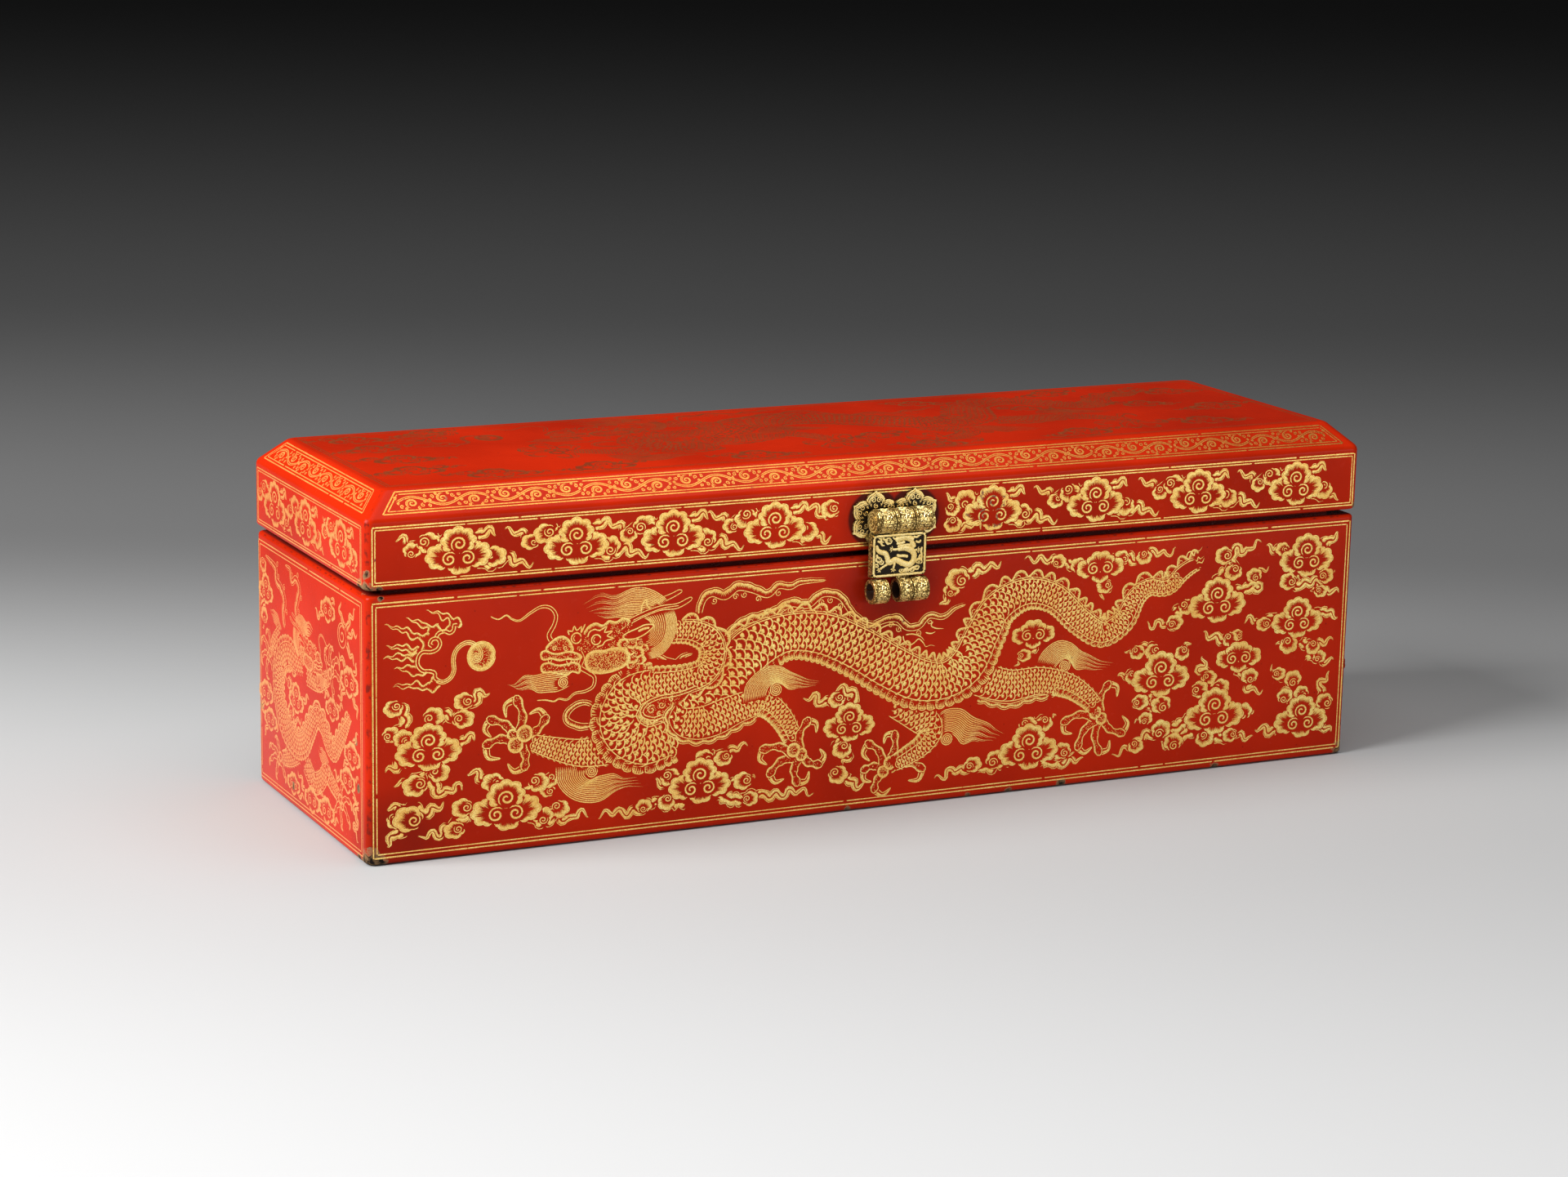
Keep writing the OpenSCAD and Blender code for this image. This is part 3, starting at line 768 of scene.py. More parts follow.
def bank(art, x, y, r, root, bumps=6, wide=1.1, deep=0.7):
    """A rounded bank of cloud: gold along its scalloped rim, which fades toward its root."""
    start = math.atan2(root[1] - y, root[0] - x)
    rim = ring(x, y, r, wide, start, 1, 1, bumps)
    art.draw(rim, 0.36)
    art.draw(ring(x, y, 0.84 * r, wide, start, 1, 1, bumps), 0.24 * r, 0.1, 0.1)
    art.shade(rim, lambda t: r * deep * (0.6 + 0.5 * math.sin(math.pi * t)), root, 0.4)
    art.cover(ring(x, y, 1.07 * r, wide, start, 1, 1, bumps))


def puff(art, x, y, r):
    """A small bank round a curl of its own, at the side of a cloud or along its tail."""
    turn = chance.uniform(0, TAU)
    at = (x + 0.36 * r * math.cos(turn), y + 0.36 * r * math.sin(turn))
    spiral(art, *at, 0.52 * r, turn + 2, chance.choice((-1, 1)))
    bank(art, x, y, r, at, 6, chance.uniform(1.1, 1.3), 0.9)


def cloud_head(art, x, y, s):
    """Three curls within banks of cloud above, at the sides and below, the nearest drawn first."""
    for side in (-1, 1):
        spiral(art, x + 2.9 * side * s, y - 2.7 * s, 2.3 * s, math.pi / 2 + side * 0.9, -side)
    spiral(art, x + 0.2 * s, y + 1.8 * s, 2.4 * s, -math.pi / 2 - 0.6, -1)
    bank(art, x, y + 2.3 * s, 4.4 * s, (x, y + 0.6 * s), 9, 1.3)
    for side in (-1, 1):
        bank(art, x + 5.5 * side * s, y - 1.8 * s, 4.0 * s, (x + 2.9 * side * s, y - 2.7 * s), 8, 1.15)
    bank(art, x + 0.3 * s, y - 4.8 * s, 2.4 * s, (x, y - 3 * s), 6, 1.6)


def twin_curl(art, x, y, r):
    """A smaller cloud of two curls side by side under one bank."""
    for side in (-1, 1):
        spiral(art, x + 0.95 * r * side, y - 0.2 * r, 0.8 * r, math.pi / 2 + side * 0.6, -side)
    bank(art, x, y + 0.5 * r, 1.3 * r, (x, y - 0.3 * r), 8, 1.5)
    for side in (-1, 1):
        bank(art, x + 1.9 * r * side, y - 0.1 * r, 1.15 * r, (x + 0.95 * side * r, y - 0.2 * r))
    bank(art, x, y - 1.2 * r, 0.7 * r, (x, y - 0.5 * r), 5, 1.6)


def wisp(art, guide, thick=5.4):
    """A tail of cloud that waves and thins to a point: two scalloped bands of gold and a red line between."""
    spine = spaced(smooth(guide, 0.9), 0.6)
    last = len(spine) - 1
    wave = [1.2 * math.sin(i * 0.6 * TAU / 5.6) * min(1, i / last * 1.6) for i in range(last + 1)]
    spine = beside(spine, wave)
    outline = []
    for side in (1, -1):
        half = []
        for i in range(last + 1):
            swell = 0.5 + 0.5 * abs(math.sin(i * 0.6 * math.pi / 3.2 + side * 0.8))
            half.append(max(0.16, thick / 2 * (1 - i / last) ** 0.8 * swell))
        art.draw(beside(spine, [side * h for h in half]), 0.3, tail=0.1)
        art.draw(beside(spine, [side * 0.5 * h for h in half]), [0.66 * h for h in half], 0.04)
        outline += beside(spine, [side * (h + 0.25) for h in half])[::side]
    art.cover(outline)


HEAD_SIZE, PUFF_SIZE, TAIL_SIZE = 1.1, 1.24, 1.25


def cloud(art, head=None, twin=None, puffs=(), tails=(), thick=5.4):
    """A cloud with all that hangs from it; nothing of the next one is hidden by it."""
    if head:
        x, y, s = head
        cloud_head(art, x, y, HEAD_SIZE * s)
    if twin:
        twin_curl(art, *twin)
    for x, y, r in puffs:
        puff(art, x, y, PUFF_SIZE * r)
    for tail in tails:
        wisp(art, tail, TAIL_SIZE * thick)
    art.covers.clear()


# %% [markdown]
# The clouds of the front stand where the photograph shows them: heads with their scale, puffs with their
# radius, and the few points that each tail passes through.

# %% Clouds of the front
FRONT_CLOUDS = [
    dict(head=(-180, 41, 1.05),
        puffs=[(-189, 44.5, 2.6), (-194, 46.5, 2.3), (-192.5, 56, 2.4), (-178.5, 51.5, 2.8),
            (-167.5, 49.8, 2.7), (-166.5, 56, 2.6), (-176.5, 31.5, 2.8), (-184.5, 27.5, 3.2)],
        tails=[
            [(-191, 47), (-188.5, 51), (-188.5, 54), (-191, 57), (-194, 56)],
            [(-178, 47), (-175, 51.5), (-171, 51), (-168, 53), (-168, 57)],
            [(-167, 56), (-163, 55.5), (-160.5, 58.5), (-157, 58)], [(-170, 40), (-166, 43), (-162.5, 42)],
            [(-187, 37), (-190, 38), (-192, 35), (-196, 33.5)],
            [(-178, 33), (-178, 26), (-174, 23.5), (-170, 26), (-167, 24.5)],
            [(-180, 30), (-184, 30), (-190, 28.5), (-192.5, 29)],
        ]),
    dict(puffs=[(-187, 15.5, 3.8), (-192, 16, 2.6)],
        tails=[
            [(-185, 18.5), (-181, 17), (-177.5, 18.5), (-174, 20)], [(-188, 19), (-192, 20), (-195, 21)],
            [(-190, 12), (-193.5, 9.5), (-196, 7)],
        ]),
    dict(head=(-151, 17, 1.15),
        puffs=[(-155.5, 25.5, 2.7), (-139, 24, 2.8), (-134.5, 24.5, 2.3), (-135, 20.5, 2),
            (-167, 17.5, 2.8), (-170, 9.8, 2.5), (-137, 11, 2.6), (-131, 13.5, 2.6)],
        tails=[
            [(-154, 26), (-158, 26), (-162, 29.5), (-165.5, 30.5)],
            [(-146, 21), (-142, 21.5), (-138, 22), (-135, 20)],
            [(-160, 14), (-166, 15), (-171, 12.5), (-176, 8.5), (-180, 9.5), (-183.5, 8)],
            [(-142, 13), (-137, 9), (-132, 11), (-127, 8.5), (-124, 11), (-119, 10)],
        ]),
    dict(head=(-76, 18, 1.05),
        puffs=[(-74, 26, 2.6), (-66.5, 25.5, 2.3), (-88, 20.5, 2.7), (-58.5, 16, 2.7), (-89, 11.5, 2.4),
            (-56, 9, 2.2), (-98, 10.5, 2)],
        tails=[
            [(-74, 25), (-69, 27), (-66, 25), (-62, 29), (-57, 29)],
            [(-84, 18), (-88, 19), (-91, 18.5), (-94, 19.5)],
            [(-67, 16), (-62, 16), (-58, 17.5), (-54, 16)],
            [(-68, 12), (-62, 9), (-56, 10), (-49, 9.5), (-43, 9), (-37, 10), (-30, 8)],
            [(-82, 11), (-88, 10.5), (-94, 12), (-99, 9.5), (-105, 9), (-110, 10), (-116, 9)],
        ]),
    dict(head=(-16, 34, 0.9),
        puffs=[(-21, 43, 2.4), (-20.5, 14.5, 2.8), (-18.5, 24, 2.6)],
        tails=[
            [(-17, 40), (-22, 43), (-27, 42), (-31, 45), (-35, 44)],
            [(-15, 40), (-14.5, 44), (-18, 46.5), (-22, 47)],
            [(-17, 29), (-21, 24.5), (-16, 21.5), (-20, 17.5), (-20, 14)],
            [(-20, 13), (-16, 12.5), (-13.5, 9.5), (-9, 9)],
        ]),
    dict(puffs=[(28, 84, 3.3), (25, 80, 2.2)],
        tails=[
            [(29, 85.5), (33.5, 86), (37, 87.5), (41, 87.5), (46, 89)],
            [(27, 82), (24.5, 78.5), (22.5, 77), (21, 74.5)],
        ]),
    dict(twin=(60.5, 60.5, 2.8),
        puffs=[(56.5, 52.5, 1.9)],
        tails=[[(61, 58), (61.5, 54.5), (57, 53), (54, 50.5), (53, 48.5)]],
        thick=4),
    dict(twin=(88.5, 84, 3.1),
        puffs=[(79, 85, 2.3), (70, 87.3, 2.1), (98, 86.5, 2.4), (107.5, 86.5, 2.2), (91, 76.5, 2.3)],
        tails=[
            [(83, 85), (77, 85.5), (72, 87), (66, 88.5), (60, 89), (55.5, 89.5)],
            [(94, 86), (100, 87), (104, 85), (109, 87.5), (113, 88), (117, 86.5), (122, 88)],
            [(88, 80), (92.5, 77), (90, 74), (89.5, 71)],
        ],
        thick=4.4),
    dict(head=(60, 17, 1.1),
        puffs=[(59, 25.5, 2.5), (66.5, 25.5, 2.4), (46, 13, 3), (36, 12.2, 2.4), (75, 13.5, 2.6)],
        tails=[
            [(59, 24), (63, 26.5), (67, 26), (72, 27.5)],
            [(51, 13), (46, 11), (41, 10.5), (36, 12), (32, 10), (28, 11.5), (24, 9), (20, 8.5)],
            [(69, 14), (73, 12), (77, 13), (80, 12)], [(66, 11), (72, 9.5), (76, 9), (80, 10), (84, 9)],
        ]),
    dict(head=(141, 67, 1.1),
        puffs=[(148, 77.5, 2.5), (143.5, 84, 2.8), (127, 65.5, 2.5), (122, 59.5, 2.4), (157.5, 75, 2.2)],
        tails=[
            [(141, 74), (143, 77), (148, 79), (146, 83), (149, 86.5), (153, 84.5), (156, 87), (160, 88.5)],
            [(150, 69), (155, 70.5), (160, 70.5), (157.5, 74.5), (161, 77), (164, 78)],
            [(132, 64), (127, 65), (122, 63), (125, 60), (120, 58), (116.5, 60.5), (113, 59), (109.5, 60)],
        ]),
    dict(head=(181, 81.5, 1.05),
        puffs=[(173.5, 71.5, 2.7), (190, 72.5, 2.5), (170, 84.5, 2.1), (188, 66.5, 1.9)],
        tails=[
            [(172, 82), (169, 84.5), (166, 85), (162, 86)], [(189, 85), (192, 87), (195.5, 88.5)],
            [(178, 75), (174, 73), (178, 69.5), (184, 71), (189, 71), (194, 75)],
            [(184, 70), (188, 67), (192, 66.5), (197, 65.5)],
        ]),
    dict(head=(178, 57, 1),
        puffs=[(174.5, 46.5, 2.8), (163, 55.5, 2.2), (186, 44.5, 2.3), (189, 40, 2)],
        tails=[
            [(169, 56), (165, 57.5), (162, 55), (158, 58), (153.5, 57.5)],
            [(187, 57), (190.5, 58.5), (193.5, 56.5), (197, 56)],
            [(178, 50), (176, 47), (172, 46), (168.5, 47)],
            [(178, 49), (182, 46), (186, 44), (190, 46), (195.5, 46.5)],
            [(183, 42), (187, 40.5), (190, 38.5), (196, 38)],
        ]),
    dict(head=(117, 40, 1.1),
        puffs=[(113.5, 49, 2.5), (106, 49.5, 2.2), (126.5, 47.5, 2.3), (104.5, 40, 2.3), (108, 29.5, 2.4),
            (118, 27.5, 2.9), (111, 22.5, 2)],
        tails=[
            [(113, 46), (114, 49.5), (109.5, 51), (106, 48.5), (101, 51)],
            [(124, 44), (127, 48), (130, 51)], [(108, 38), (103.5, 41), (98, 40)],
            [(115, 34), (110, 30.5), (114, 27), (113, 23.5), (106, 21.5)],
        ]),
    dict(twin=(152, 43.5, 3.1),
        puffs=[(147.5, 51, 2.4), (151, 52, 1.9), (157.5, 35, 2.4)],
        tails=[
            [(150, 48), (146, 50.5), (141, 52), (135, 54)],
            [(151, 40), (155, 36), (159, 35.5), (156.5, 31.5), (160, 29), (164, 29)],
        ]),
    dict(head=(142, 23, 1.15),
        puffs=[(134.5, 32, 2.7), (144, 32, 2.7), (138.5, 36.5, 2.2), (155, 21, 2.8), (118, 17.5, 3),
            (124, 12, 2.9), (138, 12.5, 2.6), (107, 12.5, 2.2), (150, 12.5, 2.2)],
        tails=[
            [(141, 31), (138, 34), (138.5, 37.5), (134.5, 39.5), (136.5, 42.5), (136, 45.5)],
            [(150, 21), (155, 20), (160, 22)],
            [(132, 21), (127, 19), (122, 17), (117, 16), (111, 16), (106, 13), (101, 11), (97, 9)],
            [(132, 16), (127, 13.5), (123, 11), (118, 12)],
            [(142, 13), (147, 11.5), (151, 12.5), (155, 11.5), (160, 10)],
        ]),
    dict(head=(182, 17, 1.05),
        puffs=[(174, 25.5, 2.4), (182, 26, 2.4), (177.5, 32, 2.7), (193, 21.5, 2.8), (170.5, 35, 2)],
        tails=[
            [(180, 24), (174, 26), (177, 29.5), (175, 32.5), (171, 34), (167, 39)],
            [(189, 19), (192.5, 23), (190, 27.5), (192, 31), (195, 33)],
            [(174, 14), (169, 12), (165, 13.5), (161, 14)], [(189, 13), (193, 11.5), (196.5, 9)],
        ]),
]

# %% [markdown]
# ## Parts of a dragon
#
# A dragon of this kind is a long tube that bends through the clouds: scales on its flank, plates under
# the belly, a fringe of flame along the back, four legs with five claws each, and hair that streams from
# head and knees. A body here is a smooth line with a half width at each point. Everything on it is
# placed by two numbers, how far along it lies and how far across, so scales shrink and turn with it.

# %% Body, scales, belly and crest


class Body:
    """A long rounded body: u is the way along it in mm, v runs across it from -1 (back) to 1 (belly)."""

    def __init__(self, spine):
        self.line = spaced(smooth(spine, 0.8), 0.5)
        self.gap = 0.5
        self.length = self.gap * (len(self.line) - 1)

    def half(self, u):
        return self.line[max(0, min(len(self.line) - 1, round(u / self.gap)))][2]

    def at(self, u, v, out=0.0):
        i = max(0, min(len(self.line) - 1, round(u / self.gap)))
        x, y, half = self.line[i]
        nx, ny = left_of(self.line, i)
        along = u - i * self.gap
        reach = -v * half + (out if v < 0 else -out)
        return x + ny * along + nx * reach, y - nx * along + ny * reach

    def edge(self, v, out=0.0, start=0.0, stop=1.0, step=1.0):
        count = max(3, round(self.length * (stop - start) / step))
        ways = [self.length * (start + (stop - start) * k / count) for k in range(count + 1)]
        return [self.at(u, v, out) for u in ways]

    def outline(self, out=0.0):
        return self.edge(-1, out) + self.edge(1, out)[::-1]


SCALE_RIM = [math.radians(a) for a in (-95, -64, -32, 0, 32, 64, 95)]


def scales(art, body, low=-0.85, high=0.55, start=0.0, stop=1.0):
    """Rows of overlapping scales: a rim toward the tail, a red crescent and a fan of gold at the root."""
    u, odd, drawn = body.length * start, 0, {}
    while u < body.length * stop:
        half = body.half(u)
        size = 0.34 * half + 1.5
        rows = size / half
        v, row = low + odd * rows / 2, odd
        while v < high:
            here = body.at(u, v)
            if row not in drawn or math.dist(here, drawn[row]) > 0.55 * size:
                drawn[row] = here
                rim = [(u + 0.5 * size * math.cos(a), v + 0.53 * rows * math.sin(a)) for a in SCALE_RIM]
                thick = [size * (0.07 + 0.07 * math.cos(a)) for a in SCALE_RIM]
                art.draw([body.at(*place) for place in rim], thick)
                fan = []
                for a in SCALE_RIM[1:-1]:
                    fan.append((u + size * (0.15 * math.cos(a) - 0.08), v + 0.17 * rows * math.sin(a)))
                art.draw([body.at(*place) for place in fan], 0.36 * size)
            v += rows
            row += 2
        u += 0.41 * size
        odd = 1 - odd


PLATE_END = ((0.02, 0.85), (0.12, 0.97), (0.35, 1.03), (0.65, 1.03), (0.9, 0.98), (1, 0.9))


def belly(art, body, inner=0.62, start=0.0, stop=1.0):
    """Overlapping plates under the body, each with a round outer end and gold fading in from it."""
    art.draw(body.edge(inner, 0, start, stop), 0.4)
    u = body.length * start
    while u < body.length * stop:
        step = 0.18 * body.half(u) + 1.3
        plate = ((0, inner + 0.03), *PLATE_END)
        art.draw([body.at(u + step * t, v) for t, v in plate], 0.4)
        for k in range(6):
            t = 0.1 + 0.15 * k
            deep = 1 - chance.uniform(0.35, 0.8) * (1 - inner)
            art.draw([body.at(u + step * t, v) for v in (1.02, 0.96, deep)], 0.2 * step)
        for k in range(3):
            v = inner + (0.12 + 0.22 * k) * (1 - inner)
            art.draw([body.at(u + step * t, v) for t in (-0.04, 0.1, chance.uniform(0.3, 0.5))], 0.34)
        u += step


def crest(art, body, start=0.0, stop=1.0, tall=2.8):
    """Back line of the dragon: two lines, and outside them a fringe of small flames with spines."""
    art.draw(body.edge(-1, 0.0, start, stop), 0.46)
    art.draw(body.edge(-1, 0.75, start, stop), 0.26)
    u, stop_u = body.length * start, body.length * stop
    fringe = []
    while u < stop_u:
        long = 4.9 * chance.uniform(0.85, 1.15)
        for t, out in ((0.0, 0.12), (0.18, 0.5), (0.36, 0.95), (0.6, 1.08), (0.8, 0.85), (0.92, 0.4)):
            fringe.append(body.at(u + long * t, -1, 0.75 + tall * out))
        spine = ((0.28, 0.8), (0.33, 1.9), (0.42, 2.2), (0.52, 1.8), (0.54, 0.8))
        art.draw([body.at(u + long * t, -1, out) for t, out in spine], 0.3)
        u += long
    art.draw(smooth(fringe, 0.7), 0.34)
    art.shade(fringe[::-1], 1.1)


# %% [markdown]
# Hair is combed between two guide lines. Feet are round pads with knuckled toes, and each claw hooks back
# toward the foot. Scarves of flame stream from the body, with gold fading in from one side.

# %% Hair, feet and flames


def tuft(art, guides, count=14, whorl=None, parts=22):
    """Hair combed from one guide line to the next, with a whorl where it grows."""
    combed = []
    for guide in guides:
        line = smooth(guide, 0.6)
        total = sum(math.dist(a, b) for a, b in zip(line, line[1:]))
        combed.append(spaced(line, total / parts)[: parts + 1])
    if whorl:
        x, y, r, hand, start = whorl
        turns = r / 0.75
        snail = []
        for k in range(round(turns * 12) + 1):
            reach = r * (1 - k / (turns * 12.5))
            angle = start + hand * k * TAU / 12
            snail.append((x + reach * math.cos(angle), y + reach * math.sin(angle)))
        art.draw(snail, 0.42)
        art.cover(circle(x, y, r, 12))
    spread = [sum(math.dist(a, b) for a, b in zip(row, row[1:])) for row in zip(*combed)]
    widths = [max(0.22, min(0.5, 0.54 * wide / (count - 1))) for wide in spread]
    for k in range(count):
        place = k / (count - 1) * (len(guides) - 1)
        i = min(int(place), len(guides) - 2)
        t = place - i
        hair = []
        for j, (a, b) in enumerate(zip(combed[i], combed[i + 1])):
            ripple = 0.35 * math.sin(j * 20 / parts + place) * j / parts
            hair.append((a[0] + (b[0] - a[0]) * t + ripple * 0.4, a[1] + (b[1] - a[1]) * t + ripple))
        stop = parts + 1 - (k % 4) * 2
        art.draw(hair[:stop], widths[:stop], tail=0.3)


def stipple(art, outline, pitch=0.6, size=0.4):
    """Dots of gold scattered within an outline."""
    xs, ys = [p[0] for p in outline], [p[1] for p in outline]
    wide, tall = max(xs) - min(xs), max(ys) - min(ys)
    for k in range(round(wide * tall / pitch**2)):
        x, y = min(xs) + wide * chance.random(), min(ys) + tall * chance.random()
        if inside(outline, x, y):
            art.draw([(x - size * 0.6, y), (x, y), (x + size * 0.6, y)], size)


def toe(art, root, tip, claw, wide=1.0):
    """A finger from the pad to its round knuckle, and the claw that hooks back from it."""
    rx, ry = root
    tx, ty = tip
    cx, cy = claw
    outward = 1 if (cy - ty) * (tx - rx) - (cx - tx) * (ty - ry) > 0 else -1
    sag = ((rx + tx) / 2 + 0.14 * outward * (ty - ry), (ry + ty) / 2 - 0.14 * outward * (tx - rx))
    line = spaced(smooth([root, sag, tip], 0.6), 0.6)
    last = len(line) - 1
    half = []
    for i in range(last + 1):
        t = i / last
        joints = 0.8 * math.exp(-(((t - 0.92) / 0.12) ** 2)) + 0.5 * math.exp(-(((t - 0.48) / 0.1) ** 2))
        half.append(wide * (0.95 + 1.4 * (1 - t) ** 3 + joints))
    left = beside(line, half)
    right = beside(line, [-h for h in half])
    dx, dy = left_of(line, last)
    knob = []
    for out, side in ((1.0, 0.7), (1.5, 0), (1.0, -0.7)):
        knob.append((tx + wide * (dy * out + side * 1.4 * dx), ty + wide * (-dx * out + side * 1.4 * dy)))
    outline = left + knob + right[::-1]
    middle = ((tx + cx) / 2 + 0.34 * outward * (cy - ty), (ty + cy) / 2 - 0.34 * outward * (cx - tx))
    spur = spaced(smooth([tip, middle, claw], 0.5), 0.5)
    n = len(spur) - 1
    sickle = [1.35 * wide * (1 - i / n) ** 0.7 for i in range(n + 1)]
    art.draw(outline, 0.42)
    art.shade(right, 0.8 * wide, None, 0.3)
    stipple(art, outline, 0.8, 0.3)
    art.cover(outline)
    for side in (-1, 1):
        art.draw(beside(spur, [side * h for h in sickle]), 0.38)
    art.draw(beside(spur, [-0.3 * outward * h for h in sickle]), sickle)


def paw(art, x, y, r, toes, pads):
    """A foot: the round pads first, and then the toes that grow from behind them."""
    for px, py, pr in pads:
        rim = circle(px, py, pr)
        art.draw(rim, 0.42)
        art.shade(rim, 0.45 * pr, (px, py))
        stipple(art, rim, 0.6, 0.4)
        art.cover(rim)
    for tip, claw in toes:
        away = math.dist((x, y), tip)
        root = (x + (tip[0] - x) * r / away * 0.6, y + (tip[1] - y) * r / away * 0.6)
        toe(art, root, tip, claw, 0.29 * r)


def leg(art, path, shin=0.55):
    """A scaled leg between its two outlines, with plates down one side of the shin."""
    limb = Body(path)
    art.draw(limb.edge(-1), 0.42)
    art.draw(limb.edge(1), 0.42)
    scales(art, limb, -0.78, 0.86, 0.0, shin)
    scales(art, limb, -0.78, 0.3, shin, 0.97)
    belly(art, limb, 0.36, shin, 0.96)
    art.cover(limb.outline())


def frill(art, guide, deep=1.6):
    """A scalloped hem of skin round a shoulder or a thigh: two lines with gold between."""
    line = spaced(smooth(guide, 0.8), 0.7)
    bumps = [deep * (0.45 + 0.55 * abs(math.sin(i * 0.7 * math.pi / 5.5))) for i in range(len(line))]
    hem = beside(line, bumps)
    art.draw(line, 0.34)
    art.draw(hem, 0.36)
    art.draw(beside(line, [b + 0.7 for b in bumps]), 0.26)
    art.shade(hem[::-1], 1.0)
    art.cover(line + hem[::-1])


def curl(art, x, y, r, hand=1, start=0.0, width=0.34):
    """A small spiral."""
    points = []
    for k in range(13):
        reach = r * (1 - 0.9 * k / 12)
        angle = start + hand * 0.72 * k
        points.append((x + reach * math.cos(angle), y + reach * math.sin(angle)))
    art.draw(points, width)


def ribbon(art, guide, thick=3.4, curls=True):
    """A scarf of flame that streams from the body: gold fades from its scalloped upper side."""
    spine = spaced(smooth(guide, 0.8), 0.7)
    last = len(spine) - 1
    half = [max(0.2, thick / 2 * min(1, 0.5 + 2 * i / last) * (1 - i / last) ** 0.5) for i in range(last + 1)]
    hem = [h * (0.8 + 0.3 * abs(math.sin(i * 0.7 * math.pi / 4.5))) for i, h in enumerate(half)]
    upper = beside(spine, hem)
    lower = beside(spine, [-h for h in half])
    art.draw(upper, 0.36)
    art.draw(lower, 0.32)
    art.draw(beside(upper, 0.75), 0.26, tail=0.3)
    art.shade(upper[::-1], lambda t: 1.2 * half[round((1 - t) * last)])
    art.cover(upper + lower[::-1])
    if curls:
        for i in range(last // 5, last * 3 // 4, 9):
            nx, ny = left_of(spine, i)
            reach = half[i] + 1.3
            curl(art, spine[i][0] - nx * reach, spine[i][1] - ny * reach, 1.3, 1, i, 0.32)


def double_line(art, guide, apart, width=0.34):
    """Two lines that run side by side and meet at the end, as a whisker."""
    line = smooth(guide, 0.7)
    last = len(line) - 1
    for side in (-1, 1):
        art.draw(beside(line, [side * apart / 2 * (1 - i / last) for i in range(last + 1)]), width)


# %% [markdown]
# ## The front
#
# The dragon of the front runs from left to right and looks at a flaming pearl. The head is drawn in
# profile with both eyes shown, as custom has it. The points are in millimetres on the front of the base,
# x from its middle and y from the foot.

# %% Dragon's head
UPPER_LIP = [(-138.2, 69.6), (-137.8, 71), (-136, 71.5), (-133.6, 70.3), (-131, 70), (-128, 70.5),
    (-125, 69.8), (-122.8, 68.6), (-122.6, 67.6), (-125, 67.2), (-128, 67.7), (-131, 67.4), (-134, 68.4),
    (-137, 68.2), (-138.2, 69.6)]
NOSE = [(-136.4, 71.8), (-135.6, 73.2), (-134.2, 74.4), (-132, 75.8), (-129.6, 76.1), (-127.6, 74.8),
    (-126.2, 72.6), (-125.6, 70.6)]
LOWER_LIP = [(-137.6, 66.7), (-138, 65), (-137, 63.6), (-134, 63.4), (-131, 62.6), (-128, 62), (-126, 63),
    (-123.4, 62.2), (-123.2, 65), (-125.6, 66.4), (-128, 66), (-131.4, 65.8), (-135, 67), (-137.6, 66.7)]
CHEEK = [(-121.4, 66), (-120.4, 68.6), (-117.6, 69.8), (-114, 69.6), (-110.6, 70.2), (-107, 69.8),
    (-104.6, 68), (-104, 65.4), (-106, 63.2), (-111, 61.6), (-116, 61.4), (-119.8, 62.8), (-121.4, 66)]
BROW = [(-121.8, 76.4), (-120.2, 78.6), (-117.4, 79.8), (-114.4, 78.8), (-112.2, 80.2), (-109.4, 79.6),
    (-106.6, 80.8), (-104, 79.8)]
FLARE = [(-120.2, 74.8), (-119.6, 76.8), (-117.4, 77.6), (-115.8, 77), (-113, 78.2), (-113.8, 76.2),
    (-110.8, 76.4), (-112.8, 74.8), (-110.4, 73.8), (-113.4, 73), (-114.6, 71.6), (-117, 71.2)]
TEMPLE = [(-112.5, 70.6), (-111, 78.6), (-106, 80), (-103, 78), (-106.5, 73), (-107.5, 70.4)]
JOWL = [(-124.6, 70.8), (-123, 73), (-120, 75.6), (-119, 72), (-113, 70.6), (-121, 69.4)]
LASHES = [(-127.2, 76.2), (-127.8, 78), (-126.2, 77.6), (-125.4, 79.4), (-124.4, 77.8), (-122.6, 79),
    (-122.8, 76.8), (-121.2, 80)]
EAR = [(-107, 74.2), (-104.6, 75.4), (-101, 76.6), (-98, 77.6), (-94.8, 77.2), (-96.4, 75.4), (-99, 73.8),
    (-102.4, 72.8), (-105.6, 73), (-107, 74.2)]
LOCKS = [(-106.4, 71.4), (-103.2, 71.2), (-100.4, 71), (-103.6, 68.8), (-101, 67.6), (-98.8, 68.8),
    (-102.8, 65.8), (-100.2, 65), (-103.2, 63.6)]
SPUR = [(-99.8, 82.2), (-99.4, 84.8), (-97.8, 87), (-97.6, 84.8), (-96, 83)]
NEAR_HORN = [(-105, 80), (-98, 82.6), (-92, 84), (-86, 84.3), (-82, 85.8), (-80.4, 86.2), (-80.4, 85),
    (-85.6, 82.6), (-92, 82.4), (-98, 80.8), (-103.6, 78.6)]
FAR_HORN = [(-92, 87), (-88, 88.2), (-85, 89.3), (-84, 88.5), (-87, 86.9), (-90.4, 85.6)]
FANGS = [
    [(-128.4, 67.4), (-127.4, 65.2), (-126.2, 67.6)], [(-135.4, 68.3), (-134.6, 66.7), (-133.8, 68.3)],
    [(-125.4, 67.6), (-124.8, 65.4), (-123.8, 67.6)],
]
WHISKER = [(-134, 74.8), (-135, 77), (-133, 80.6), (-132.4, 84), (-134.5, 86.8), (-138, 87.4),
    (-142, 85.6), (-146, 83.2), (-149, 84), (-151, 85.5), (-154, 84.3), (-157, 85.6)]
